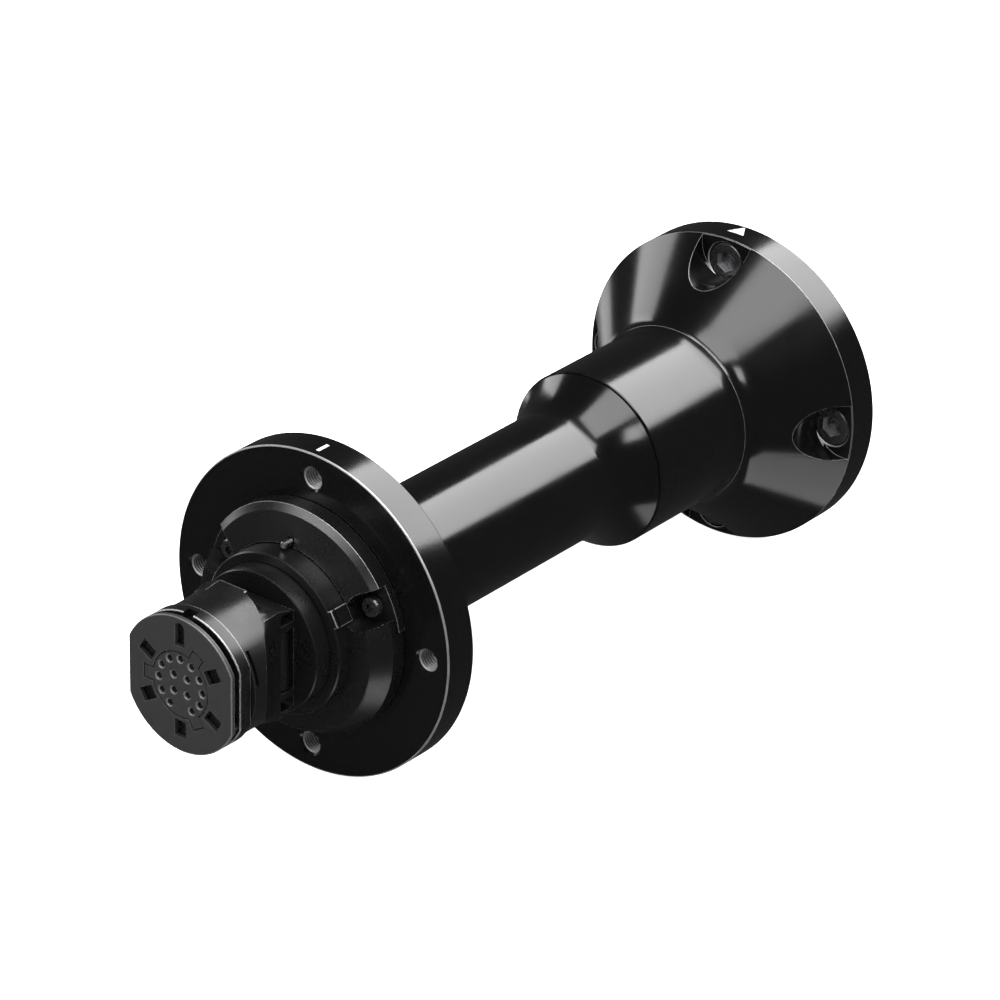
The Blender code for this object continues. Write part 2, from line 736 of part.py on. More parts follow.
def make_nose_stem(finish):
    """Boss and spigot, turned, with the block, neck and round stem lofted on to them."""
    rear = TUBE_FRONT - GAP
    base = front(COLLAR_HEIGHT + GAP)
    nose = turned(
        "nose_stem",
        [
            (rear, 0),
            (rear, NOSE_SPIGOT_RADIUS),
            (base, NOSE_SPIGOT_RADIUS),
            (base, BOSS_RADIUS),
            (front(BOSS_HEIGHT), BOSS_RADIUS),
            (front(BOSS_HEIGHT), 0),
        ],
        finish,
        MID_STEPS,
    )
    buried = front(BOSS_HEIGHT - SINK)
    rings = [
        [Vector((p.x, buried, p.z)) for p in block_ring(BOSS_HEIGHT, BLOCK_REAR_HALF)],
        block_ring(BOSS_HEIGHT, BLOCK_REAR_HALF),
        block_ring(BLOCK_HEIGHT, BLOCK_FRONT_HALF),
        neck_ring(NECK_TOP_HEIGHT, NECK_SIDE_HEIGHT),
        neck_ring(STEM_HEIGHT, STEM_HEIGHT),
    ]
    weld(nose, place("nose_loft", lofted_mesh("nose_loft", rings)))
    for side, label in ((1, "right"), (-1, "left")):
        reach = ROLLER_HALF_LENGTH + GAP
        floor = ROLLER_X - ROLLER_RADIUS - GAP
        cut(nose, recess_cutter(f"roller_recess_{label}", side, -reach, reach, floor))
        bridge = reach + ROLLER_WALL
        cut(nose, recess_cutter(f"upper_recess_{label}", side, bridge, RECESS_END, RECESS_END_FLOOR))
        cut(nose, recess_cutter(f"lower_recess_{label}", side, -RECESS_END, -bridge, RECESS_END_FLOOR))
        length = ROLLER_PIN_HALF_LENGTH + GAP
        bore = place(
            f"pin_bore_{label}",
            upright_mesh(f"pin_bore_{label}", ROLLER_PIN_RADIUS + GAP, 0, length, TINY_STEPS),
        )
        bore.location = roller_place(side)
        cut(nose, bore)
    start = front(STEM_HEIGHT + OVERCUT)
    cut(nose, round_cutter("cable_bore", CABLE_BORE, start, rear + OVERCUT, (0, 0, 0), SMALL_STEPS))
    ramp_rear = front(BLOCK_HEIGHT - RAMP_LAND)
    ramp_outline = [
        (ramp_rear, RAMP_REAR_Z),
        (ramp_rear, BLOCK_REAR_HALF - OVERCUT),
        (front(RAMP_FRONT_HEIGHT), BLOCK_REAR_HALF - OVERCUT),
        (front(RAMP_FRONT_HEIGHT), RAMP_FRONT_Z),
    ]
    weld(nose, place("nose_ramp", prism_mesh("nose_ramp", ramp_outline, RAMP_LEFT, RAMP_RIGHT, "X")))
    return nose


def make_rollers(roller_finish, pin_finish):
    roller = upright_mesh("locking_roller", ROLLER_RADIUS, ROLLER_BORE, ROLLER_HALF_LENGTH, SMALL_STEPS)
    roller.materials.append(roller_finish)
    pin = upright_mesh("roller_pin", ROLLER_PIN_RADIUS, 0, ROLLER_PIN_HALF_LENGTH, TINY_STEPS)
    pin.materials.append(pin_finish)
    for side, label in ((1, "right"), (-1, "left")):
        place(f"locking_roller_{label}", roller).location = roller_place(side)
        place(f"roller_pin_{label}", pin).location = roller_place(side)


def make_head_ring(finish):
    outline = flatted_outline(HEAD_RADIUS, HEAD_FLAT)
    rear = front(STEM_HEIGHT + GAP)
    ring = place("head_ring", prism_mesh("head_ring", outline, front(RING_HEIGHT), rear), finish)
    tip = front(PLATE_REAR_HEIGHT - GAP)
    spigot = [(front(RING_HEIGHT) + SINK, 0), (front(RING_HEIGHT) + SINK, RING_SPIGOT_RADIUS)]
    spigot += [(tip, RING_SPIGOT_RADIUS), (tip, 0)]
    weld(ring, place("ring_spigot", turned_mesh("ring_spigot", spigot, MID_STEPS)))
    cut(ring, round_cutter("ring_bore", RING_BORE, tip - OVERCUT, rear + OVERCUT, (0, 0, 0), MID_STEPS))
    half = HEAD_NOTCH_WIDTH / 2
    notch = box_outline(-half, half, RING_SPIGOT_RADIUS, HEAD_RADIUS + OVERCUT)
    cut(ring, place("ring_notch", prism_mesh("ring_notch", notch, tip - OVERCUT, front(HEAD_NOTCH_HEIGHT))))
    return ring


def make_contact_plate(finish):
    face, back = front(HEAD_HEIGHT), front(PLATE_REAR_HEIGHT)
    outline = flatted_outline(HEAD_RADIUS, HEAD_FLAT)
    plate = place("contact_cover_plate", prism_mesh("contact_cover_plate", outline, face, back), finish)
    ends = face - OVERCUT, back + OVERCUT
    hole = place("plate_hole", prism_mesh("plate_hole", keyed_outline(GAP), *ends))
    cut(plate, hole)
    slots = [slot_outline(PAD_TOP_WIDTH, PAD_TOP_INNER, PAD_TOP_OUTER, 0)]
    slots += [radial_box(PAD_INNER, PAD_OUTER, PAD_WIDTH, degrees) for degrees in range(60, 360, 60)]
    for i, slot in enumerate(slots):
        cut(plate, place(f"plate_slot_{i}", prism_mesh("plate_slot", slot, *ends)))
    return plate


def keyed_outline(grow):
    """The insert's outline: a circle with three square keys, each grown by a fit."""
    radius = INSERT_RADIUS + grow
    half = INSERT_KEY_WIDTH / 2 + grow
    reach = INSERT_KEY_REACH + grow
    root = math.degrees(math.asin(half / radius))
    points = []
    for i, degrees in enumerate(INSERT_KEY_ANGLES):
        turn = math.radians(degrees)
        for x in (-half, half):
            points.append(turned_point(x, reach, turn))
        start = degrees + root
        stop = INSERT_KEY_ANGLES[(i + 1) % len(INSERT_KEY_ANGLES)] - root
        span = (stop - start) % 360
        steps = 12
        for j in range(steps + 1):
            spot = clock(radius, start + span * j / steps)
            points.append((spot.x, spot.z))
    return points


def make_contact_insert(finish):
    face, back = front(HEAD_HEIGHT - INSERT_DROP), front(INSERT_REAR_HEIGHT)
    step = front(PLATE_REAR_HEIGHT)
    insert = place("contact_insert", prism_mesh("contact_insert", keyed_outline(0), face, step), finish)
    body = INSERT_RADIUS - GAP
    profile = [(face + GAP, 0), (face + GAP, body), (back, body), (back, 0)]
    weld(insert, place("insert_body", turned_mesh("insert_body", profile, MID_STEPS)))
    for i, spot in enumerate(contact_places()):
        ends = face - OVERCUT, back + OVERCUT
        cut(insert, round_cutter(f"contact_hole_{i}", CONTACT_HOLE, *ends, spot, TINY_STEPS))
    return insert


def make_front_board(board_finish):
    """The contact board behind the insert, with a metal pin for each hole."""
    face = front(INSERT_REAR_HEIGHT - GAP)
    back = face + BOARD_THICKNESS
    radius = INSERT_RADIUS
    profile = [(back, 0), (back, radius), (face, radius), (face, 0)]
    board = turned("front_contact_board", profile, board_finish, MID_STEPS)
    tip = front(HEAD_HEIGHT - CONTACT_PAD_DROP)
    for i, spot in enumerate(contact_places()):
        ends = tip, face + BOARD_THICKNESS / 2
        weld(board, round_cutter(f"contact_pin_{i}", CONTACT_PAD_RADIUS, *ends, spot, TINY_STEPS))
    return board


def make_rear_contacts(housing_finish, contact_finish, screw_finish, board_finish):
    radius = HOUSING_RADIUS
    housing = turned(
        "rear_contact_housing",
        [(HOUSING_FRONT, 0), (HOUSING_FRONT, radius), (HOUSING_REAR, radius), (HOUSING_REAR, 0)],
        housing_finish,
        MID_STEPS,
    )
    depth = SPRING_PIN_LENGTH - SPRING_PIN_STAND + SPRING_PIN_TRAVEL + GAP
    profile = [(-SPRING_PIN_LENGTH, 0), (-SPRING_PIN_LENGTH, SPRING_PIN_RADIUS)]
    tip = SPRING_PIN_RADIUS / 2
    profile += [(-tip, SPRING_PIN_RADIUS), (0, tip), (0, 0)]
    pin = turned_mesh("spring_contact", profile, TINY_STEPS)
    pin.materials.append(contact_finish)
    for i, spot in enumerate(contact_places()):
        start, end = HOUSING_REAR - depth, HOUSING_REAR + OVERCUT
        cut(housing, round_cutter(f"spring_hole_{i}", SPRING_PIN_HOLE, start, end, spot, TINY_STEPS))
        seat = spot + Vector((0, HOUSING_REAR + SPRING_PIN_STAND, 0))
        place(f"spring_contact_{i + 1:02d}", pin).location = seat
    screw = screw_mesh(
        "housing_screw",
        HOUSING_SCREW_HEAD,
        HOUSING_SCREW_HEAD_HEIGHT - 2 * GAP,
        HOUSING_SCREW_SHANK,
        HOUSING_SCREW_LENGTH - GAP,
        SMALL_KEY_SHARE * HOUSING_SCREW_HEAD,
        SMALL_KEY_DEPTH_SHARE * HOUSING_SCREW_HEAD_HEIGHT,
    )
    screw.transform(Matrix.Rotation(math.pi, 4, "Z"))
    screw.materials.append(screw_finish)
    seat = HOUSING_REAR - HOUSING_SCREW_HEAD_HEIGHT
    for i, degrees in enumerate(HOUSING_SCREW_ANGLES):
        spot = clock(HOUSING_SCREW_CIRCLE, degrees)
        head, shank = HOUSING_SCREW_HEAD + GAP, HOUSING_SCREW_SHANK + GAP
        stepped = [(HOUSING_FRONT - OVERCUT, 0), (HOUSING_FRONT - OVERCUT, shank), (seat, shank)]
        stepped += [(seat, head), (HOUSING_REAR + OVERCUT, head), (HOUSING_REAR + OVERCUT, 0)]
        cut(housing, turned_cutter(f"housing_cutter_{i}", stepped, spot))
        place(f"housing_screw_{i + 1}", screw).location = spot + Vector((0, seat + GAP, 0))
    face = HOUSING_FRONT - GAP
    back = face - BOARD_THICKNESS
    profile = [(back, 0), (back, REAR_BOARD_RADIUS), (face, REAR_BOARD_RADIUS), (face, 0)]
    turned("rear_contact_board", profile, board_finish, MID_STEPS)
    return housing


def make_signal_cable(finish):
    """The cable between the two contact boards, with a little slack inside the tube."""
    start = front(INSERT_REAR_HEIGHT - GAP) + BOARD_THICKNESS + GAP
    end = HOUSING_FRONT - 2 * GAP - BOARD_THICKNESS
    straight = front(0) + FRONT_FLANGE_THICKNESS
    curve = bpy.data.curves.new("signal_cable", "CURVE")
    curve.dimensions = "3D"
    curve.bevel_depth = CABLE_RADIUS
    curve.bevel_resolution = 2
    curve.use_fill_caps = True
    line = curve.splines.new("POLY")
    line.points.add(CABLE_POINTS + 1)
    line.points[0].co = (0, start, 0, 1)
    for i in range(CABLE_POINTS + 1):
        share = i / CABLE_POINTS
        y = straight + (end - straight) * share
        swing = CABLE_WAVE * math.sin(math.pi * share) ** 2
        x, z = swing * math.sin(math.tau * share), -swing
        line.points[i + 1].co = (x, y, z, 1)
    curve.materials.append(finish)
    cable = bpy.data.objects.new("signal_cable", curve)
    bpy.context.scene.collection.objects.link(cable)
    return cable


def main():
    for thing in list(bpy.data.objects):
        bpy.data.objects.remove(thing, do_unlink=True)
    black = material("black_anodised", (0.012, 0.012, 0.013), 0.32, 0.9)
    casting = material("nose_steel", (0.035, 0.035, 0.037), 0.42, 0.9)
    plastic = material("head_plastic", (0.018, 0.018, 0.019), 0.55, 0.0)
    steel = material("black_screw_steel", (0.05, 0.05, 0.052), 0.35, 1.0)
    bright = material("contact_metal", (0.72, 0.70, 0.66), 0.2, 1.0)
    board = material("board_laminate", (0.02, 0.06, 0.03), 0.5, 0.0)
    sheath = material("cable_sheath", (0.015, 0.015, 0.015), 0.6, 0.0)
    make_front_flange(black)
    make_shaft_tube(black)
    make_shoulder_collar(black)
    make_rear_sleeve(black)
    make_rear_bell(black)
    make_rear_screws(steel)
    make_nose_collar(casting)
    make_collar_cover(casting)
    make_cover_screws(steel)
    make_alignment_pin(steel)
    make_nose_stem(casting)
    make_rollers(casting, steel)
    make_head_ring(casting)
    make_contact_plate(plastic)
    make_contact_insert(plastic)
    make_front_board(board)
    make_rear_contacts(plastic, bright, steel, board)
    make_signal_cable(sheath)


main()
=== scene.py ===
"""Builds the looks of a quick-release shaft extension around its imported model."""

import math

import bmesh
import bpy
from mathutils import Matrix, Vector


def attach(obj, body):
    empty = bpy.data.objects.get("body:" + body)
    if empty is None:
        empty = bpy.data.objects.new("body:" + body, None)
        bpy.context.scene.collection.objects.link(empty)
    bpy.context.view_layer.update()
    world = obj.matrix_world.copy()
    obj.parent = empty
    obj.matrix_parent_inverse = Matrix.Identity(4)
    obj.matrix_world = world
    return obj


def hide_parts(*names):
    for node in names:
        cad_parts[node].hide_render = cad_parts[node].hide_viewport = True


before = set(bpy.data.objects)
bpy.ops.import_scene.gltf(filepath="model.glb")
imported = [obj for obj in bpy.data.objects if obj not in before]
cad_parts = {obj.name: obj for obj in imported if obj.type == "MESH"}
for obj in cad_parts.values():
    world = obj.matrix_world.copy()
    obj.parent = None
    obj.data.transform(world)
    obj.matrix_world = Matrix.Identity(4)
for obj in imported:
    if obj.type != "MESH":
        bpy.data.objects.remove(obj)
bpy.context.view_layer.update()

bl_info = {
    "name": "Quick-release shaft extension",
    "version": (1, 0, 0),
    "blender": (4, 5, 0),
    "location": "View3D > Sidebar > Shaft",
    "description": "Models, finishes and lights a steering-wheel shaft extension",
    "category": "Object",
}

BODY = "shaft"
MM = 0.001
RIM_STEPS = 160
STEPS = 128
HEAD_STEPS = 96
FINE_STEPS = 64
ROUND_STEPS = 48
SMALL_STEPS = 40
PIN_STEPS = 32
TINY_STEPS = 24
CLOSE = 1e-6
MERGE = 0.003
SMOOTH_ANGLE = math.radians(28)
CRISP_ANGLE = math.radians(12)

# Places along the shaft, in millimetres; y falls towards the nose and the rear face is at 0.
FACE = -170.0
FLANGE_BACK = -160.9
SPIGOT_REAR = -165.8
SLEEVE_FRONT = -65.0
SLEEVE_REAR = -31.0
CONE_REAR = -9.3
HEAD_FACE = -215.3
HOUSING_REAR = -47.0
ROLLER_Y = -191.1

# Radii and distances from the axis, in millimetres.
FLANGE_RADIUS = 41.5
BOLT_CIRCLE = 35
TUBE_RADIUS = 16.9
TUBE_BORE = 13
SLEEVE_BORE = 17.2
SLEEVE_RADIUS = 23.1
NOSE_BORE = 13.3
COVER_RADIUS = 29.3
COVER_SCREW_CIRCLE = 24
PIN_CIRCLE = 21.6
RING_RADIUS = 20.3
BOSS_RADIUS = 17.8
HEAD_RADIUS = 17.26
ROLLER_X = 9.0
HOUSING_SCREW_CIRCLE = 14.95

# The openings of a window in the nose's side: name, lower and upper height, and depth from the axis.
WINDOWS = (("upper", 9.7, 12.6, 8.0), ("lower", -12.6, -9.7, 8.0), ("middle", -7.9, 7.9, 6.8))
SIDES = ((1, "right"), (-1, "left"))

# Angles in degrees, clockwise from 12 as seen from the front.
COVER_SCREW_SPOTS = {"right": 63.5, "left": -63.5}
HOUSING_SCREW_SPOTS = (60, 180, 300)
KEY_ANGLES = (30, 150, 270)


# ---------------------------------------------------------------- mesh tools


def clock(radius, degrees, y=0.0):
    """A point at a clock angle, clockwise from 12 as seen from the front."""
    angle = math.radians(degrees)
    return Vector((radius * math.sin(angle), y, radius * math.cos(angle)))


def deselect():
    bpy.ops.object.select_all(action="DESELECT")


def pick(thing):
    """Makes one object the only selected one."""
    deselect()
    thing.select_set(True)
    bpy.context.view_layer.objects.active = thing


def edit(thing):
    pick(thing)
    bpy.ops.object.mode_set(mode="EDIT")
    bpy.ops.mesh.select_mode(type="VERT")


def leave():
    bpy.ops.object.mode_set(mode="OBJECT")


def settle(thing):
    """Puts an object's place, turn and size into its mesh."""
    pick(thing)
    bpy.ops.object.transform_apply(location=True, rotation=True, scale=True)


def named(name):
    thing = bpy.context.object
    thing.name = name
    thing.data.name = name
    return thing


def choose(test, kind="VERT"):
    """Selects, in edit mode, the vertices, edges or faces that pass a test."""
    mesh = bmesh.from_edit_mesh(bpy.context.object.data)
    bpy.ops.mesh.select_mode(type=kind)
    bpy.ops.mesh.select_all(action="DESELECT")
    items = {"VERT": mesh.verts, "EDGE": mesh.edges, "FACE": mesh.faces}[kind]
    for item in items:
        if test(item):
            item.select_set(True)
    mesh.select_flush_mode()
    bmesh.update_edit_mesh(bpy.context.object.data)


def turn(name, profile, steps=STEPS, closed=True, spot=(0, 0)):
    """Extrudes a circle through the (y, radius) stations of a profile, in millimetres."""
    y, radius = profile[0]
    deselect()
    bpy.ops.mesh.primitive_circle_add(
        vertices=steps,
        radius=radius * MM,
        location=(0, y * MM, 0),
        rotation=(math.pi / 2, 0, 0),
    )
    thing = named(name)
    settle(thing)
    edit(thing)
    bpy.ops.mesh.select_all(action="SELECT")
    for new_y, new_radius in profile[1:] + (profile[:1] if closed else []):
        bpy.ops.mesh.extrude_region_move(TRANSFORM_OT_translate={"value": (0, (new_y - y) * MM, 0)})
        grow = new_radius / radius
        bpy.ops.transform.resize(value=(grow, 1, grow), center_override=(0, new_y * MM, 0))
        y, radius = new_y, new_radius
    bpy.ops.mesh.select_all(action="SELECT")
    if closed:
        bpy.ops.mesh.remove_doubles(threshold=CLOSE)
    else:
        bpy.ops.mesh.fill_holes(sides=0)
    bpy.ops.mesh.select_all(action="SELECT")
    bpy.ops.mesh.normals_make_consistent(inside=False)
    leave()
    if spot != (0, 0):
        thing.location = (spot[0], 0, spot[1])
        settle(thing)
    return thing


def rod(name, radius, start, end, spot=(0, 0), steps=SMALL_STEPS, chamfer=0.0):
    """A turned rod along Y, with its places in millimetres and an optional chamfer at its front."""
    if chamfer:
        profile = [(start, radius - chamfer), (start + chamfer, radius), (end, radius)]
    else:
        profile = [(start, radius), (end, radius)]
    return turn(name, profile, steps, closed=False, spot=spot)


def block(name, low, high):
    """A box between two corners, in millimetres."""
    low, high = Vector(low) * MM, Vector(high) * MM
    deselect()
    bpy.ops.mesh.primitive_cube_add(size=1, location=(low + high) / 2)
    thing = named(name)
    thing.scale = high - low
    settle(thing)
    return thing


def spun(thing, degrees, centre=(0, 0, 0)):
    """Turns a piece clockwise about the shaft's axis, as seen from the front."""
    centre = Vector(centre)
    swing = Matrix.Rotation(math.radians(degrees), 4, "Y")
    thing.matrix_world = Matrix.Translation(centre) @ swing @ Matrix.Translation(-centre)
    settle(thing)
    return thing


def copied(thing, name):
    pick(thing)
    bpy.ops.object.duplicate(linked=False)
    return named(name)


def flatten(thing, places):
    """Cuts a piece flat where each (point, outward normal) plane crosses it."""
    for point, normal in places:
        edit(thing)
        bpy.ops.mesh.select_all(action="SELECT")
        bpy.ops.mesh.bisect(plane_co=point, plane_no=normal, use_fill=True, clear_outer=True)
        leave()
    return thing


def apply_step(thing, step):
    pick(thing)
    bpy.ops.object.modifier_apply(modifier=step.name)


def join(target, other, operation="UNION"):
    two_slots(target)
    two_slots(other)
    step = target.modifiers.new("shape", "BOOLEAN")
    step.operation = operation
    step.solver = "EXACT"
    step.object = other
    apply_step(target, step)
    deselect()
    other.select_set(True)
    bpy.context.view_layer.objects.active = other
    bpy.ops.object.delete()
    return target


def cut(target, other):
    return join(target, other, "DIFFERENCE")


def tidy(thing, distance=0.02):
    """Merges what a cut left closer than this many millimetres."""
    edit(thing)
    bpy.ops.mesh.select_all(action="SELECT")
    bpy.ops.mesh.remove_doubles(threshold=distance * MM)
    bpy.ops.mesh.dissolve_degenerate(threshold=CLOSE)
    bpy.ops.mesh.select_all(action="SELECT")
    bpy.ops.mesh.normals_make_consistent(inside=False)
    leave()


def two_slots(thing):
    """Makes room for the finish of the faces and the painted highlight of the rounded edges."""
    while len(thing.data.materials) < 2:
        thing.data.materials.append(None)


def mark_painted_highlight(thing, test):
    """Marks the faces that pass a test for the painted highlight of the rounded edges."""
    two_slots(thing)
    for face in thing.data.polygons:
        face.material_index = int(test(face))


def bevel(thing, width, segments=2, angle=30):
    """Rounds every edge sharper than the angle, by a width in millimetres."""
    tidy(thing)
    two_slots(thing)
    step = thing.modifiers.new("edges", "BEVEL")
    # The rounded faces go to the second slot, which holds the painted edge highlight.
    step.material = 1
    step.width = width * MM
    step.segments = segments
    step.limit_method = "ANGLE"
    step.angle_limit = math.radians(angle)
    step.use_clamp_overlap = True
    step.miter_outer = "MITER_ARC"
    apply_step(thing, step)
    return thing


def smooth(thing, angle=SMOOTH_ANGLE):
    pick(thing)
    bpy.ops.object.shade_smooth_by_angle(angle=angle, keep_sharp_edges=False)
    step = thing.modifiers.new("normals", "WEIGHTED_NORMAL")
    step.keep_sharp = True
    apply_step(thing, step)


def finish(thing, finish_material, slot, *nodes, body=BODY, edge=None, angle=SMOOTH_ANGLE):
    """Smooths a piece, gives it its material, puts the painted highlight on the marked faces where edge is
    given, and ties it to the frame.
    """
    smooth(thing, angle)
    marked = [face.material_index for face in thing.data.polygons]
    thing.data.materials.clear()
    thing.data.materials.append(finish_material)
    if edge and any(marked):
        thing.data.materials.append(edge)
        for face, index in zip(thing.data.polygons, marked):
            face.material_index = index
    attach(thing, body)
    if nodes:
        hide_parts(*nodes)
    return thing


# ------------------------------------------------------------- shader tools


class Socket:
    """A shader socket that adds Math nodes as it is used in sums."""

    def __init__(self, shader, socket):
        self.shader = shader
        self.socket = socket

    def combine(self, operation, *values):
        return self.shader.node("ShaderNodeMath", {"operation": operation}, values)

    def __add__(self, other):
        return self.combine("ADD", self, other)

    def __sub__(self, other):
        return self.combine("SUBTRACT", self, other)

    def __rsub__(self, other):
        return self.combine("SUBTRACT", other, self)

    def __mul__(self, other):
        return self.combine("MULTIPLY", self, other)

    __radd__ = __add__
    __rmul__ = __mul__

    def __abs__(self):
        return self.combine("ABSOLUTE", self)

    def above(self, other):
        return self.combine("GREATER_THAN", self, other)

    def below(self, other):
        return self.combine("LESS_THAN", self, other)


class Shader:
    """One material and the nodes that it is made of."""

    def __init__(self, name, colour, roughness, metallic=0.0):
        self.material = bpy.data.materials.new(name)
        self.material.use_nodes = True
        self.tree = self.material.node_tree
        self.surface = self.tree.nodes["Principled BSDF"]
        self.set("Base Color", (*colour, 1.0))
        self.set("Roughness", roughness)
        self.set("Metallic", metallic)
        self.colour = colour
        self.coordinates = self.node("ShaderNodeTexCoord", {}, {}, "Object")

    def set(self, name, value):
        if isinstance(value, Socket):
            self.tree.links.new(value.socket, self.surface.inputs[name])
        else:
            self.surface.inputs[name].default_value = value

    def node(self, kind, settings, values, output=0):
        """Makes a node, sets it up, fills its inputs and gives back one output."""
        made = self.tree.nodes.new(kind)
        for key, value in settings.items():
            if key == "stops":
                ramp = made.color_ramp
                for i, (place, shade) in enumerate(value):
                    stop = ramp.elements[i] if i < 2 else ramp.elements.new(place)
                    stop.position = place
                    stop.color = (shade, shade, shade, 1.0)
            else:
                setattr(made, key, value)
        pairs = values.items() if isinstance(values, dict) else enumerate(values)
        for key, value in pairs:
            if isinstance(value, Socket):
                self.tree.links.new(value.socket, made.inputs[key])
            else:
                made.inputs[key].default_value = value
        return Socket(self, made.outputs[output])

    def axes(self):
        split = self.tree.nodes.new("ShaderNodeSeparateXYZ")
        self.tree.links.new(self.coordinates.socket, split.inputs[0])
        return [Socket(self, split.outputs[i]) for i in range(3)]

    def noise(self, scale, detail=2.0, stretch=(1, 1, 1)):
        place = self.node("ShaderNodeMapping", {}, {0: self.coordinates, "Scale": stretch})
        values = {"Vector": place, "Scale": scale, "Detail": detail}
        return self.node("ShaderNodeTexNoise", {}, values, "Fac")

    def mix(self, factor, first, second):
        """Blends two colours, each a triple or a socket."""
        made = self.tree.nodes.new("ShaderNodeMix")
        made.data_type = "RGBA"
        for index, value in ((0, factor), (6, first), (7, second)):
            if isinstance(value, Socket):
                self.tree.links.new(value.socket, made.inputs[index])
            elif isinstance(value, tuple):
                made.inputs[index].default_value = (*value, 1.0)
            else:
                made.inputs[index].default_value = value
        return Socket(self, made.outputs[2])

    def bump(self, height, strength, distance):
        values = {"Height": height, "Strength": strength, "Distance": distance}
        self.set("Normal", self.node("ShaderNodeBump", {}, values))


def tints(colour, dark, light):
    """A darker and a lighter form of a colour."""
    return tuple(dark * c for c in colour), tuple(light * c for c in colour)


def black_finish(name, settings, mark=None):
    """Fine-blasted black anodising, with printed marks where mark gives a mask."""
    shader = Shader(name, settings.black, settings.black_roughness)
    grain = shader.noise(2600.0, 3.0)
    cloud = shader.noise(60.0, 2.0)
    rough = shader.node(
        "ShaderNodeMapRange",
        {},
        {0: cloud, "From Min": 0.3, "From Max": 0.7, "To Min": -0.025, "To Max": 0.03},
    )
    rough = rough + settings.black_roughness + (grain - 0.5) * 0.08
    tint = shader.mix(grain, *tints(settings.black, 0.75, 1.5))
    shader.set("Specular IOR Level", settings.black_gloss)
    if mark:
        paint = mark(shader)
        tint = shader.mix(paint, tint, tuple(settings.paint))
        rough = rough + paint * 0.3
    shader.set("Base Color", tint)
    shader.set("Roughness", rough)
    shader.bump(grain, 0.4, 0.00002)
    return shader.material


def nose_finish(name, settings):
    """Dark grey satin metal with a fine cast skin."""
    shader = Shader(name, settings.nose, settings.nose_roughness)
    grain = shader.noise(2200.0, 4.0)
    cloud = shader.noise(150.0, 3.0)
    shader.set("Specular IOR Level", settings.nose_gloss)
    shader.set("Base Color", shader.mix(grain, *tints(settings.nose, 0.7, 1.4)))
    shader.set("Roughness", (cloud - 0.5) * 0.12 + settings.nose_roughness + (grain - 0.5) * 0.1)
    shader.bump(grain, 0.15, 0.00002)
    return shader.material


def plastic_finish(name, settings):
    """Matte moulded plastic with a fine spark-eroded texture."""
    shader = Shader(name, settings.plastic, settings.plastic_roughness)
    grain = shader.noise(3200.0, 3.0)
    shader.set("Base Color", shader.mix(grain, *tints(settings.plastic, 0.8, 1.25)))
    shader.set("Roughness", (grain - 0.5) * 0.2 + settings.plastic_roughness)
    shader.bump(grain, 0.5, 0.00004)
    return shader.material


def steel_finish(name, colour, roughness, metallic):
    """Screw steel and the painted highlight of rounded edges, with a fine grain."""
    shader = Shader(name, colour, roughness, metallic)
    grain = shader.noise(1800.0, 3.0)
    shader.set("Base Color", shader.mix(grain, *tints(colour, 0.7, 1.3)))
    shader.set("Roughness", (grain - 0.5) * 0.2 + roughness)
    shader.bump(grain, 0.2, 0.00002)
    return shader.material


def board_finish(name):
    """Green solder mask with a faint weave under it."""
    shader = Shader(name, (0.012, 0.05, 0.022), 0.4)
    weave = shader.noise(900.0, 2.0, (1, 1, 3))
    shader.set("Base Color", shader.mix(weave, (0.008, 0.035, 0.015), (0.018, 0.07, 0.03)))
    shader.set("Roughness", (weave - 0.5) * 0.15 + 0.4)
    shader.bump(weave, 0.3, 0.00003)
    return shader.material


def sheath_finish(name):
    """Soft cable sheath."""
    shader = Shader(name, (0.015, 0.015, 0.016), 0.6)
    grain = shader.noise(1500.0, 3.0)
    shader.set("Base Color", shader.mix(grain, (0.011, 0.011, 0.012), (0.02, 0.02, 0.021)))
    shader.set("Roughness", (grain - 0.5) * 0.2 + 0.6)
    shader.bump(grain, 0.3, 0.00003)
    return shader.material


def rear_mark(shader):
    """The printed triangle at 12 o'clock on the rear rim, pointing back."""
    x, y, z = shader.axes()
    apex, base, middle, half = -1.0 * MM, -5.3 * MM, -0.4 * MM, 2.5 * MM
    slope = half / (apex - base)
    room = (apex - y) * slope
    return abs(x - middle).below(room) * y.above(base) * z.above(0.0)


def front_mark(shader):
    """The plain printed line at 12 o'clock on the front rim."""
    x, y, z = shader.axes()
    half_width, half_length, middle = 0.5 * MM, 1.9 * MM, 166.0 * MM
    return abs(x).below(half_width) * abs(y + middle).below(half_length) * z.above(0.0)


# ----------------------------------------------------------------- settings


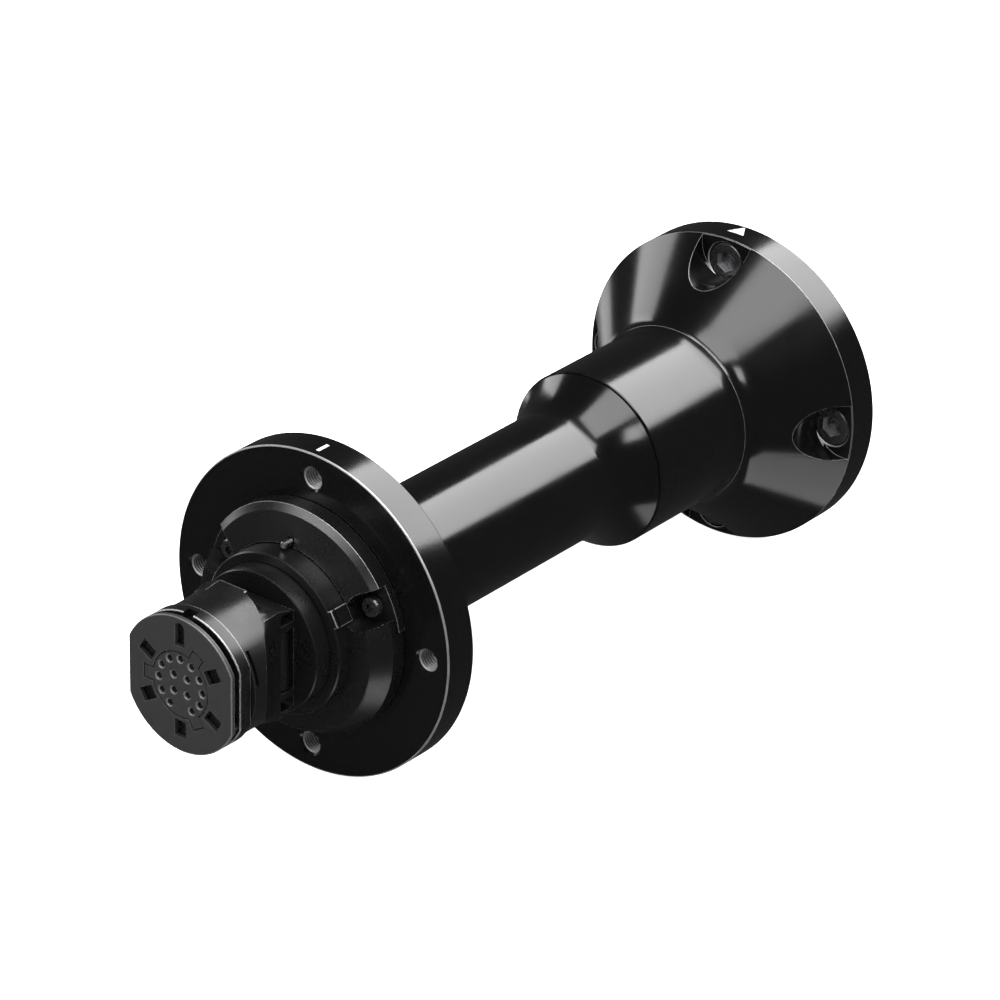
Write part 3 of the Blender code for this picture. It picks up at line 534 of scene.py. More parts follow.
class ShaftFinishes(bpy.types.PropertyGroup):
    """Colours and gloss of the shaft's materials."""

    black: bpy.props.FloatVectorProperty(
        name="Anodised black",
        description="Colour of the flanges, tube, sleeve and bell",
        subtype="COLOR",
        min=0.0,
        max=1.0,
        default=(0.0022, 0.0022, 0.0025),
    )
    black_roughness: bpy.props.FloatProperty(
        name="Anodised roughness",
        description="Roughness of the black anodising",
        subtype="FACTOR",
        min=0.0,
        max=1.0,
        default=0.15,
    )
    black_gloss: bpy.props.FloatProperty(
        name="Anodised gloss",
        description="Specular level of the black anodising",
        subtype="FACTOR",
        min=0.0,
        max=1.0,
        default=0.5,
    )
    nose: bpy.props.FloatVectorProperty(
        name="Nose metal",
        description="Colour of the nose, collar and cover",
        subtype="COLOR",
        min=0.0,
        max=1.0,
        default=(0.004, 0.004, 0.0045),
    )
    nose_roughness: bpy.props.FloatProperty(
        name="Nose roughness",
        description="Roughness of the nose metal",
        subtype="FACTOR",
        min=0.0,
        max=1.0,
        default=0.29,
    )
    nose_gloss: bpy.props.FloatProperty(
        name="Nose gloss",
        description="Specular level of the nose metal",
        subtype="FACTOR",
        min=0.0,
        max=1.0,
        default=0.5,
    )
    plastic: bpy.props.FloatVectorProperty(
        name="Head plastic",
        description="Colour of the contact plate and insert",
        subtype="COLOR",
        min=0.0,
        max=1.0,
        default=(0.018, 0.018, 0.019),
    )
    plastic_roughness: bpy.props.FloatProperty(
        name="Plastic roughness",
        description="Roughness of the head plastic",
        subtype="FACTOR",
        min=0.0,
        max=1.0,
        default=0.5,
    )
    # Painted highlight: a light grey given to rounded edges, thread flanks and socket walls to stand in for
    # the light they catch.
    edge: bpy.props.FloatVectorProperty(
        name="Painted edge highlights",
        description="Colour of the rounded edges, which catch the light",
        subtype="COLOR",
        min=0.0,
        max=1.0,
        default=(0.5, 0.5, 0.51),
    )
    paint: bpy.props.FloatVectorProperty(
        name="Printed marks",
        description="Colour of the printed marks",
        subtype="COLOR",
        min=0.0,
        max=1.0,
        default=(0.85, 0.85, 0.85),
    )


class ShaftSizes(bpy.types.PropertyGroup):
    """Sizes of the details that only the looks have."""

    edge: bpy.props.FloatProperty(
        name="Edge rounding",
        description="Width of the rounding on machined edges, in millimetres",
        min=0.0,
        max=1.0,
        default=0.38,
    )
    thread_pitch: bpy.props.FloatProperty(
        name="Thread pitch",
        description="Pitch of the tapped holes, in millimetres",
        min=0.4,
        max=2.0,
        default=0.8,
    )
    light: bpy.props.FloatProperty(
        name="Light level",
        description="Share of the studio lights' full power",
        subtype="FACTOR",
        min=0.0,
        max=5.0,
        default=1.0,
    )


# ------------------------------------------------------------------- pieces


class Piece:
    """What every piece's operator shares."""

    bl_options = {"REGISTER", "UNDO"}

    @property
    def finishes(self):
        return bpy.context.scene.shaft_finishes

    @property
    def sizes(self):
        return bpy.context.scene.shaft_sizes


def finish_named(name, maker, *values):
    """A material that is made once and used by several pieces."""
    return bpy.data.materials.get(name) or maker(name, *values)


def black_of(self):
    return finish_named("anodised_skin", black_finish, self.finishes)


def nose_of(self):
    return finish_named("satin_nose_skin", nose_finish, self.finishes)


def plastic_of(self):
    return finish_named("moulded_head_skin", plastic_finish, self.finishes)


def steel_of(self):
    return finish_named("blackened_steel", steel_finish, (0.10, 0.10, 0.105), 0.28, 0.9)


def bright_of(self):
    return finish_named("plated_contact", steel_finish, (0.70, 0.67, 0.60), 0.22, 1.0)


def plastic_highlight_of(self):
    """Painted highlight: a lighter finish on the plastic's rounded edges and hole mouths, standing in for the
    light they catch.
    """
    return finish_named("rubbed_plastic", steel_finish, (0.16, 0.16, 0.163), 0.45, 0.6)


def edge_highlight_of(self):
    """Painted highlight: a light finish on the metal's rounded edges and threads, standing in for the light
    they catch.
    """
    return finish_named("burnished_edge", steel_finish, tuple(self.finishes.edge), 0.5, 0.9)


def thread_profile(start, end, pitch, inner, outer, mouth):
    """Stations of a threaded hole's cutter, with a countersunk mouth at the start."""
    profile = [(start - 1.0, mouth + 1.0), (start, mouth), (start + mouth - outer, outer)]
    y = profile[-1][0]
    while y + pitch < end:
        profile += [(y + 0.5 * pitch, outer), (y + 0.72 * pitch, inner), (y + 0.85 * pitch, inner)]
        profile.append((y + pitch, outer))
        y += pitch
    return profile + [(end + 1.0, outer)]


class BuildFrontFlange(Piece, bpy.types.Operator):
    """Turn the front flange and tap its four holes"""

    bl_idname = "shaft.front_flange"
    bl_label = "Front flange"

    def execute(self, context):
        back, face = FLANGE_BACK, FACE
        minor, major, mouth, mouth_depth, middle = 2.42, 2.85, 3.25, 0.5, -165
        flange = turn(
            "front_flange_turned",
            [
                (back, SLEEVE_BORE),
                (back, FLANGE_RADIUS),
                (face, FLANGE_RADIUS),
                (face, NOSE_BORE),
                (SPIGOT_REAR, NOSE_BORE),
                (SPIGOT_REAR, SLEEVE_BORE),
            ],
            RIM_STEPS,
        )
        bevel(flange, self.sizes.edge)
        # Painted highlight on the rounded edges of the front face only.
        mark_painted_highlight(flange, lambda side: side.material_index and side.center.y < middle * MM)
        for i in range(4):
            spot = clock(BOLT_CIRCLE * MM, 90 * i)
            profile = thread_profile(face, back, self.sizes.thread_pitch, minor, major, mouth)
            tap = turn(f"tap_{i}", profile, SMALL_STEPS, closed=False, spot=(spot.x, spot.z))
            below_mouth = (face + mouth_depth) * MM
            # Painted highlight on the thread flanks that face the hole's mouth.
            mark_painted_highlight(tap, lambda side: 0.3 < side.normal.y < 0.95 and side.center.y > below_mouth)
            cut(flange, tap)
        black = finish_named("anodised_skin_front", black_finish, self.finishes, front_mark)
        finish(flange, black, "black_anodised", "front_flange", edge=edge_highlight_of(self))
        return {"FINISHED"}


class BuildTube(Piece, bpy.types.Operator):
    """Turn the tube, its flared shoulder and the sleeve"""

    bl_idname = "shaft.tube"
    bl_label = "Tube, shoulder and sleeve"

    def execute(self, context):
        black = black_of(self)
        front, rear = -165.5, -52.1
        stations = [(front, TUBE_BORE), (front, TUBE_RADIUS), (rear, TUBE_RADIUS), (rear, TUBE_BORE)]
        tube = turn("shaft_tube_drawn", stations)
        finish(tube, black, "black_anodised", "shaft_tube")
        rear, lip, top, length, curve, bore = -65.3, 16.85, 22.65, 14.2, 1.75, 16.5
        rounds = 20
        profile = [(rear - length, bore)]
        for i in range(rounds + 1):
            share = i / rounds
            profile.append((rear - length * (1 - share), lip + (top - lip) * share**curve))
        shoulder = turn("shoulder_collar_turned", profile + [(rear, bore)])
        finish(shoulder, black, "black_anodised", "shoulder_collar")
        flare, flare_start, flare_steps = [], -34.5, 8
        for i in range(flare_steps + 1):
            share = i / flare_steps
            flare.append((flare_start + 3.5 * share, SLEEVE_RADIUS + 0.5 * share**2))
        spigot, spigot_end, socket, socket_end = 22.2, -14.6, 18.6, -51.8
        sleeve = turn(
            "rear_sleeve_turned",
            [(SLEEVE_FRONT, SLEEVE_BORE), (SLEEVE_FRONT, 22.6), (-64.85, 22.92), (-64.5, SLEEVE_RADIUS)]
            + flare
            + [(SLEEVE_REAR, spigot), (spigot_end, spigot), (spigot_end, socket)]
            + [(socket_end, socket), (socket_end, SLEEVE_BORE)],
        )
        finish(sleeve, black, "black_anodised", "rear_sleeve")
        return {"FINISHED"}


def open_pocket(name, radius, start, end, height, reach, steps):
    """A U-shaped pocket at 12 o'clock that opens outwards: a rod whose upper half is drawn straight up."""
    pocket = rod(name, radius, start, end, (0, height * MM), steps)
    flatten(pocket, [((0, 0, height * MM), (0, 0, 1))])
    edit(pocket)
    choose(lambda face: face.normal.z > 0.9, "FACE")
    bpy.ops.mesh.extrude_region_move(TRANSFORM_OT_translate={"value": (0, 0, reach * MM)})
    leave()
    return pocket


class BuildBell(Piece, bpy.types.Operator):
    """Turn the rear bell, sink its four pockets and set the screws in them"""

    bl_idname = "shaft.bell"
    bl_label = "Rear bell and screws"

    def execute(self, context):
        root, cone_front, edge, narrow, rise = -30.7, -25.8, 0.5, 23.6, 2.7
        corner = cone_front - rise * 16.5 / 15.2
        fillet, fillet_steps = [], 10
        for i in range(fillet_steps + 1):
            share = i / fillet_steps
            rest = 1 - share
            y = rest**2 * cone_front + 2 * rest * share * corner + share**2 * root
            fillet.append((y, narrow + rise * rest**2))
        bell = turn(
            "rear_bell_turned",
            [(0, 29.7), (0, FLANGE_RADIUS - edge), (-edge, FLANGE_RADIUS), (CONE_REAR, FLANGE_RADIUS)]
            + fillet
            + [(root, 22.5), (-14.3, 22.5), (-14.3, 26.6), (-5.7, 26.6), (-5.7, 29.7)],
            RIM_STEPS,
        )
        for i in range(4):
            pocket = open_pocket(f"pocket_{i}", 7.5, root - 1, -9.5, 38.5, 5, ROUND_STEPS)
            cut(bell, spun(pocket, 90 * i))
        # The rounded edges of the bell get the painted highlight.
        bevel(bell, self.sizes.edge, 3, 22)
        for i in range(4):
            spot = clock(BOLT_CIRCLE * MM, 90 * i)
            profile = [(-10.5, 5.9), (-9.5, 5.55), (-9.2, 5.3), (-6.2, 5.3), (-6.2, 3.3), (2, 3.3)]
            seat = turn(f"seat_{i}", profile, SMALL_STEPS, closed=False, spot=(spot.x, spot.z))
            # Painted highlight on the mouths of the screw seats.
            mark_painted_highlight(seat, lambda side: side.center.y < -9.2 * MM)
            cut(bell, seat)
        black = finish_named("anodised_skin_rear", black_finish, self.finishes, rear_mark)
        finish(bell, black, "black_anodised", "rear_bell_flange", edge=edge_highlight_of(self))
        profile = [(-9.4, 4.5), (-9.3, 4.8), (-9.05, 5.0), (-6.5, 5.0), (-6.5, 3.0), (-0.6, 3.0)]
        profile.append((-0.3, 2.7))
        screw = turn("screw", profile, FINE_STEPS, closed=False)
        key = turn("key", [(-10.4, 3.2), (-9.15, 2.9), (-7.4, 2.9), (-6.8, 0.4)], 6, closed=False)
        # Painted reflection on the walls of the hex socket near its mouth.
        mark_painted_highlight(key, lambda side: side.center.y < -7.4 * MM)
        cut(screw, key)
        for i, side in enumerate(("top", "right", "bottom", "left")):
            spot = clock(BOLT_CIRCLE * MM, 90 * i)
            piece = copied(screw, f"socket_screw_{side}")
            piece.location = spot
            settle(piece)
            finish(piece, steel_of(self), "screw_steel", f"rear_screw_{side}", edge=edge_highlight_of(self))
        pick(screw)
        bpy.ops.object.delete()
        return {"FINISHED"}


def scoop(name, degrees, start, end, radius):
    """A pocket over a cover screw."""
    return spun(open_pocket(name, radius, start, end, COVER_SCREW_CIRCLE, 8, SMALL_STEPS), degrees)


class BuildCollar(Piece, bpy.types.Operator):
    """Turn the collar and its cover, with the cover's screws and the alignment pin"""

    bl_idname = "shaft.collar"
    bl_label = "Collar and cover"

    def execute(self, context):
        nose = nose_of(self)
        face = FACE
        skirt = turn(
            "nose_collar_turned",
            [
                (face - 0.3, NOSE_BORE),
                (face - 0.3, 28.6),
                (face - 4.2, 28.6),
                (face - 8.6, 26.2),
                (face - 9.3, 25.9),
                (face - 9.6, 25.2),
                (face - 9.6, RING_RADIUS),
                (face - 9.6, NOSE_BORE),
            ],
        )
        cut(skirt, block("upper", (-40, face - 16, 11.4), (40, face + 2, 60)))
        cut(skirt, block("ears", (-40, face - 2.6, 5.7), (40, face + 2, 60)))
        for side, degrees in COVER_SCREW_SPOTS.items():
            cut(skirt, scoop(f"scoop_{side}", degrees, face - 16, face + 2, 4.1))
        ring = turn(
            "ring",
            [(face - 0.35, NOSE_BORE), (face - 0.35, RING_RADIUS), (face - 13.2, RING_RADIUS)]
            + [(face - 13.5, 20.0), (face - 13.5, NOSE_BORE)],
        )
        # The rounded edges of the collar get the painted highlight.
        bevel(skirt, 0.3, 3)
        join(skirt, ring)
        tab = block("tab", (-2.2, face - 13.4, 19.5), (2.2, face - 7.9, 21.2))
        # The rounded edges of the tab get the painted highlight.
        bevel(tab, 0.2)
        slot_line = block("slot_line", (-2.4, face - 12.6, 20.75), (2.4, face - 12.1, 22))
        cut(tab, slot_line)
        join(skirt, spun(tab, 61))
        tidy(skirt, MERGE)
        finish(skirt, nose, "nose_metal", "nose_collar", edge=edge_highlight_of(self))

        cover = turn(
            "collar_cover_turned",
            [(face - 0.3, 20.6), (face - 0.3, COVER_RADIUS), (face - 4.3, COVER_RADIUS)]
            + [(face - 5.4, 27.5), (face - 7.6, 20.6)],
        )
        cut(cover, block("low", (-40, face - 12, -60), (40, face + 2, 6.0)))
        cut(cover, block("split", (-40, face - 12, -60), (40, face - 2.3, 11.7)))
        for side, degrees in COVER_SCREW_SPOTS.items():
            cut(cover, scoop(f"scoop_{side}", degrees, face - 16, face - 2.3, 4.1))
        # The rounded edges of the cover get the painted highlight.
        bevel(cover, 0.22, 3)
        for side, degrees in COVER_SCREW_SPOTS.items():
            spot = clock(COVER_SCREW_CIRCLE * MM, degrees)
            cut(cover, rod(f"hole_{side}", 1.7, face - 6, face + 2, (spot.x, spot.z)))
        cut(cover, rod("pin_hole", 1.15, face - 12, face + 2, (0, PIN_CIRCLE * MM)))
        cut(cover, spun(block("seam", (-0.12, face - 12, 20), (0.12, face - 7.0, 40)), 0.7))
        tidy(cover, MERGE)
        finish(cover, nose, "nose_metal", "collar_cover", edge=edge_highlight_of(self), angle=CRISP_ANGLE)

        seat = face - 2.6
        profile = [(seat - 1.9, 1.9), (seat - 1.75, 2.35), (seat - 1.3, 2.6), (seat, 2.6)]
        profile += [(seat, 1.4), (seat + 6.3, 1.4), (seat + 6.5, 1.2)]
        screw = turn("screw", profile, SMALL_STEPS, closed=False)
        key = turn("key", [(seat - 3, 1.25), (seat - 0.95, 1.25)], 12, closed=False)
        edit(key)
        choose(lambda v: int(round(math.degrees(math.atan2(v.co.x, v.co.z)) / 30)) % 2 == 1)
        bpy.ops.transform.resize(value=(0.72, 1, 0.72), center_override=(0, 0, 0))
        leave()
        cut(screw, key)
        for side, degrees in COVER_SCREW_SPOTS.items():
            piece = copied(screw, f"star_screw_{side}")
            spun(piece, 11)
            piece.location = clock(COVER_SCREW_CIRCLE * MM, degrees)
            settle(piece)
            finish(piece, steel_of(self), "screw_steel", f"cover_screw_{side}")
        pick(screw)
        bpy.ops.object.delete()

        pin = rod("alignment_dowel", 0.9, face - 10.0, face - 2.0, (0, PIN_CIRCLE * MM), PIN_STEPS, 0.27)
        ground = finish_named("ground_pin", steel_finish, (0.35, 0.35, 0.36), 0.25, 1.0)
        finish(pin, ground, "screw_steel", "alignment_pin")
        return {"FINISHED"}


def loft_nose():
    """Extrudes a square loop along the block, then eases it into the round stem."""
    around = 96
    width, rear_half, front_half, stem = 11.1, 12.2, 13.9, 16.7
    neck_foot, neck_top, neck_side, neck_curve, stem_height = 23.7, 25.6, 9.0, 2.2, 38.4
    block_heights = {"buried": 17.5, "rear": 18.4, "front": neck_foot}

    def square(v, half):
        share = math.degrees(math.atan2(v.x, v.z)) % 360
        quarter = share % 180
        corner = 45.0
        if quarter <= corner or quarter >= 180 - corner:
            run = quarter if quarter <= corner else quarter - 180
            side = 1 if share < 90 or share > 270 else -1
            return Vector((side * width * run / corner, 0, side * half))
        side = 1 if share < 180 else -1
        return Vector((side * width, 0, side * half * (90 - quarter) / corner))

    def even(v):
        """The stem's own angle for a point, so that the corners meet."""
        degrees = math.degrees(math.atan2(v.x, v.z)) % 360
        quarter = degrees % 180
        corner = math.degrees(math.atan2(width, front_half))
        if quarter <= 45:
            out = quarter / 45 * corner
        elif quarter >= 135:
            out = 180 - (180 - quarter) / 45 * corner
        else:
            out = corner + (quarter - 45) / 90 * (180 - 2 * corner)
        return out + (180 if degrees >= 180 else 0)

    def place(kind, share=0.0):
        def spot(v):
            box = square(v, rear_half if kind in ("buried", "rear") else front_half)
            angle = math.radians(even(v))
            height = neck_top + neck_side * math.sin(angle) ** 2
            round_at = Vector((stem * math.sin(angle), 0, stem * math.cos(angle)))
            if kind in block_heights:
                return Vector((box.x, -(-FACE + block_heights[kind]), box.z)) * MM
            if kind == "neck":
                point = box.lerp(round_at, share**neck_curve)
                rise = (height - neck_foot) * share
                return Vector((point.x, -(-FACE + neck_foot + rise), point.z)) * MM
            return Vector((round_at.x, -(-FACE + stem_height), round_at.z)) * MM
        return spot

    places = [place("buried"), place("rear"), place("front")]
    places += [place("neck", i / 8) for i in range(1, 9)] + [place("stem")]
    deselect()
    bpy.ops.mesh.primitive_circle_add(vertices=around, radius=stem * MM, rotation=(math.pi / 2, 0, 0))
    nose = named("nose_loft")
    settle(nose)
    edit(nose)
    bpy.ops.mesh.select_all(action="SELECT")
    mesh = bmesh.from_edit_mesh(nose.data)
    start = {v.index: v.co.copy() for v in mesh.verts}
    order = sorted(start)
    for step, spot in enumerate(places):
        if step:
            bpy.ops.mesh.extrude_region_move(TRANSFORM_OT_translate={"value": (0, -1 * MM, 0)})
        mesh = bmesh.from_edit_mesh(nose.data)
        mesh.verts.ensure_lookup_table()
        if step:
            matched = {}
            moved = [v for v in mesh.verts if v.select]
            for v in moved:
                old = next(e.other_vert(v) for e in v.link_edges if not e.other_vert(v).select)
                matched[v.index] = before[old.index]
        else:
            matched = {i: start[i] for i in order}
            moved = list(mesh.verts)
        for v in moved:
            v.co = spot(matched[v.index])
        before = matched
        bmesh.update_edit_mesh(nose.data)
    bpy.ops.mesh.select_all(action="SELECT")
    bpy.ops.mesh.fill_holes(sides=0)
    bpy.ops.mesh.select_all(action="SELECT")
    bpy.ops.mesh.normals_make_consistent(inside=False)
    leave()
    return nose


def window(name, side, low, high, floor):
    """A recess in the nose's side between two heights, in millimetres."""
    outer, half_length = 19.8, 2.2
    near, far = sorted((side * floor, side * outer))
    return block(name, (near, ROLLER_Y - half_length, low), (far, ROLLER_Y + half_length, high))


class BuildNose(Piece, bpy.types.Operator):
    """Make the nose with its locking windows, rollers and pins"""

    bl_idname = "shaft.nose"
    bl_label = "Nose and rollers"

    def execute(self, context):
        nose = nose_of(self)
        stem = turn(
            "nose_stem_milled",
            [(SPIGOT_REAR, 13.0), (-183.8, 13.0), (-183.8, BOSS_RADIUS)]
            + [(-188.25, BOSS_RADIUS), (-188.5, 17.55)],
            closed=False,
        )
        body = loft_nose()
        for side, label in SIDES:
            for part, low, high, floor in WINDOWS:
                cut(body, window(f"{part}_{label}", side, low, high, floor))
        # The rounded edges of the nose get the painted highlight.
        bevel(body, 0.25, 2, 32)
        ramp = block("ramp", (-7.7, -205.0, 10.2), (0.7, -193.0, 15.5))
        edit(ramp)
        choose(lambda v: v.co.y < -200 * MM and v.co.z > 12 * MM)
        bpy.ops.transform.translate(value=(0, 0, -1.3 * MM))
        leave()
        # The rounded edges of the ramp get the painted highlight.
        bevel(ramp, 0.3, 2)
        join(body, ramp)
        join(stem, body)
        for side, label in SIDES:
            for part, low, high, floor in WINDOWS:
                cut(stem, window(f"wide_{part}_{label}", side, low, high, floor))
            bore = rod(f"bore_{label}", 1.1, -9.5, 9.5, steps=TINY_STEPS)
            bore.rotation_euler = (math.pi / 2, 0, 0)
            bore.location = (side * ROLLER_X * MM, ROLLER_Y * MM, 0)
            settle(bore)
            cut(stem, bore)
        cut(stem, rod("cable_bore", 4.2, -212, -163, steps=FINE_STEPS))
        slit = turn("slit", [(-206.9, 15.7), (-206.9, 18), (-207.8, 18), (-207.8, 15.7)], FINE_STEPS)
        ends = []
        for degrees, sign in ((52, -1), (82, 1)):
            ends.append(((0, 0, 0), clock(sign, degrees + 90)))
        cut(stem, flatten(slit, ends))
        tidy(stem, MERGE)
        finish(stem, nose, "nose_metal", "nose_stem", edge=edge_highlight_of(self))

        profile = [(-7.6, 1.1), (-7.6, 1.75), (-7.45, 1.9), (7.45, 1.9), (7.6, 1.75), (7.6, 1.1)]
        roller = turn("roller", profile, ROUND_STEPS)
        profile = [(-9.2, 0.65), (-9.05, 0.8), (9.05, 0.8), (9.2, 0.65)]
        pin = turn("pin", profile, PIN_STEPS, closed=False)
        for side, label in SIDES:
            roller_node = f"locking_roller_{label}"
            for source, node, body_name, look in (
                (roller, roller_node, roller_node, nose),
                (pin, f"roller_pin_{label}", BODY, steel_of(self)),
            ):
                piece = copied(source, f"{node}_turned")
                piece.rotation_euler = (math.pi / 2, 0, 0)
                piece.location = (side * ROLLER_X * MM, ROLLER_Y * MM, 0)
                settle(piece)
                slot = "nose_metal" if source is roller else "screw_steel"
                finish(piece, look, slot, node, body=body_name)
        for source in (roller, pin):
            pick(source)
            bpy.ops.object.delete()
        return {"FINISHED"}


def contact_spots():
    """The fifteen contacts: eleven on a ring, with 6 o'clock left out, and four in a square."""
    circle, half_pitch = 6.6 * MM, 2.05 * MM
    ring = [clock(circle, 30 * hour) for hour in range(12) if hour != 6]
    sides = (-half_pitch, half_pitch)
    return ring + [Vector((x, 0, z)) for x in sides for z in sides]


def flatted(name, radius, start, end, flat=15.7, steps=STEPS):
    """A round slab with an upright flat on each side."""
    slab = rod(name, radius, start, end, steps=steps)
    sides = [((side * flat * MM, 0, 0), (side, 0, 0)) for side in (-1, 1)]
    return flatten(slab, sides)


class BuildHead(Piece, bpy.types.Operator):
    """Make the contact head: ring, plate, insert and contacts"""

    bl_idname = "shaft.head"
    bl_label = "Contact head"

    def execute(self, context):
        face = HEAD_FACE
        ring = flatted("head_ring_milled", HEAD_RADIUS, -212.4, -208.7)
        # The rounded edges of the ring get the painted highlight.
        bevel(ring, 0.3, 3)
        join(ring, rod("spigot", 14.6, -213.8, -211.4, steps=HEAD_STEPS))
        for degrees in (0, 118):
            join(ring, spun(block("lug", (-1.4, -213.8, 13.9), (1.4, -211.4, 16.6)), degrees))
        cut(ring, rod("bore", 9.0, -216, -206, steps=FINE_STEPS))
        cut(ring, block("notch", (-1.5, -216, 15.2), (1.5, -210.4, 20)))
        tidy(ring)
        finish(ring, nose_of(self), "nose_metal", "head_ring", edge=edge_highlight_of(self))

        plastic = plastic_of(self)
        plate = flatted("contact_plate_moulded", HEAD_RADIUS, face, -214.1)
        bevel(plate, 0.28, 3)
        cut(plate, rod("plate_hole", 8.5, -217, -212, steps=HEAD_STEPS))
        for degrees in KEY_ANGLES:
            cut(plate, spun(block("key_hole", (-1.9, -217, 5), (1.9, -212, 11.1)), degrees))
        for degrees in range(60, 360, 60):
            cut(plate, spun(block("slot", (-1.7, -217, 9.2), (1.7, -212, 13.5)), degrees))
        slot_end = 14.6 * MM
        top = rod("top_slot", 1.4, -217, -212, (0, slot_end), PIN_STEPS)
        flatten(top, [((0, 0, slot_end), (0, 0, -1))])
        edit(top)
        choose(lambda item: item.normal.z < -0.9, "FACE")
        bpy.ops.mesh.extrude_region_move(TRANSFORM_OT_translate={"value": (0, 0, -4.6 * MM)})
        leave()
        cut(plate, top)
        bevel(plate, 0.14, 2, 50)
        # The plate's rounded edges and slot outlines carry the painted highlight.
        finish(plate, plastic, "head_plastic", "contact_cover_plate", edge=plastic_highlight_of(self))

        insert = rod("contact_insert_moulded", 8.2, face + 0.1, -213.0, steps=HEAD_STEPS)
        for degrees in KEY_ANGLES:
            join(insert, spun(block("key", (-1.6, face + 0.1, 4), (1.6, -214.1, 10.8)), degrees))
        # The rounded edges of the insert get the painted highlight.
        bevel(insert, 0.12, 2, 50)
        for i, spot in enumerate(contact_spots()):
            profile = [(face - 1, 1.3), (face + 0.1, 1.12), (face + 0.4, 0.82), (face + 0.6, 0.78)]
            profile.append((-212, 0.78))
            well = turn(f"well_{i}", profile, TINY_STEPS, closed=False, spot=(spot.x, spot.z))
            # Painted glint on the countersunk mouth of each contact hole.
            mark_painted_highlight(well, lambda side: side.center.y < (face + 0.45) * MM)
            cut(insert, well)
        finish(insert, plastic, "head_plastic", "contact_insert", edge=plastic_highlight_of(self))

        board = rod("front_board_cut", 8.2, -212.7, -211.5, steps=FINE_STEPS)
        finish(board, finish_named("solder_mask", board_finish), "board_laminate", "front_contact_board")
        profile = [(face + 0.9, 0.2), (face + 1.0, 0.4), (face + 1.2, 0.5), (-212.8, 0.5)]
        source = turn("contact", profile, 20, closed=False)
        for i, spot in enumerate(contact_spots()):
            piece = copied(source, f"front_contact_{i + 1:02d}")
            piece.location = spot
            settle(piece)
            finish(piece, bright_of(self), "contact_metal")
        pick(source)
        bpy.ops.object.delete()
        return {"FINISHED"}


class BuildRearContacts(Piece, bpy.types.Operator):
    """Make the spring contacts at the bottom of the rear socket, with their housing and screws"""

    bl_idname = "shaft.rear_contacts"
    bl_label = "Rear contacts"

    def execute(self, context):
        rear = HOUSING_REAR
        housing = rod("rear_housing_moulded", 18.3, -51.5, rear, steps=HEAD_STEPS)
        bevel(housing, 0.3, 2)
        for i, spot in enumerate(contact_spots()):
            profile = [(-50.9, 0.82), (rear - 0.25, 0.82), (rear, 1.05), (rear + 1, 1.2)]
            cut(housing, turn(f"well_{i}", profile, TINY_STEPS, closed=False, spot=(spot.x, spot.z)))
        for i, degrees in enumerate(HOUSING_SCREW_SPOTS):
            spot = clock(HOUSING_SCREW_CIRCLE * MM, degrees)
            profile = [(-53, 1.4), (-49.0, 1.4), (-49.0, 2.5), (rear, 2.5), (rear + 1, 3.0)]
            cut(housing, turn(f"seat_{i}", profile, SMALL_STEPS, closed=False, spot=(spot.x, spot.z)))
        finish(housing, plastic_of(self), "head_plastic", "rear_contact_housing")

        profile = [(-49.6, 0.5), (-44.75, 0.5), (-44.5, 0.4), (-44.4, 0.22)]
        source = turn("spring_pin", profile, TINY_STEPS, closed=False)
        for i, spot in enumerate(contact_spots()):
            node = f"spring_contact_{i + 1:02d}"
            piece = copied(source, f"{node}_turned")
            piece.location = spot
            settle(piece)
            finish(piece, bright_of(self), "contact_metal", node, body=node)
        profile = [(-54.7, 1.1), (-48.7, 1.1), (-48.7, 2.2), (-47.6, 2.2), (-47.4, 2.1), (-47.3, 1.8)]
        screw = turn("screw", profile, SMALL_STEPS, closed=False)
        cut(screw, turn("key", [(-48.3, 1.0), (-46, 1.0)], 6, closed=False))
        for i, degrees in enumerate(HOUSING_SCREW_SPOTS):
            piece = copied(screw, f"housing_screw_{i + 1}_turned")
            piece.location = clock(HOUSING_SCREW_CIRCLE * MM, degrees)
            settle(piece)
            finish(piece, steel_of(self), "screw_steel", f"housing_screw_{i + 1}")
        for thing in (source, screw):
            pick(thing)
            bpy.ops.object.delete()
        return {"FINISHED"}


class FinishHiddenParts(Piece, bpy.types.Operator):
    """Give the cable and the rear board, which keep their shapes, their materials"""

    bl_idname = "shaft.hidden_parts"
    bl_label = "Cable and board"

    def execute(self, context):
        board = finish_named("solder_mask", board_finish)
        sheath = finish_named("soft_sheath", sheath_finish)
        for node, look in (("rear_contact_board", board), ("signal_cable", sheath)):
            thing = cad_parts[node]
            thing.data.materials.clear()
            thing.data.materials.append(look)
        return {"FINISHED"}


# -------------------------------------------------------------------- stage

AIM = (0, -0.1, 0)
FLOOR_Z = -0.0418


def soft_box(name, direction, width, height, radiance, along=(1, 0, 0)):
    """A soft box one metre away in a direction, its width along an axis, with its brightness as radiance."""
    centre = Vector(AIM)
    outward = Vector(direction).normalized()
    level = Vector(along)
    level = (level - level.dot(outward) * outward).normalized()
    bpy.ops.object.light_add(type="AREA")
    lamp = bpy.context.object
    lamp.name = name
    lamp.data.shape = "RECTANGLE"
    lamp.data.size = width
    lamp.data.size_y = height
    lamp.data.energy = radiance * math.pi * width * height * bpy.context.scene.shaft_sizes.light
    turned = Matrix((level, outward.cross(level), outward)).transposed().to_4x4()
    lamp.matrix_world = Matrix.Translation(centre + outward) @ turned
    return lamp


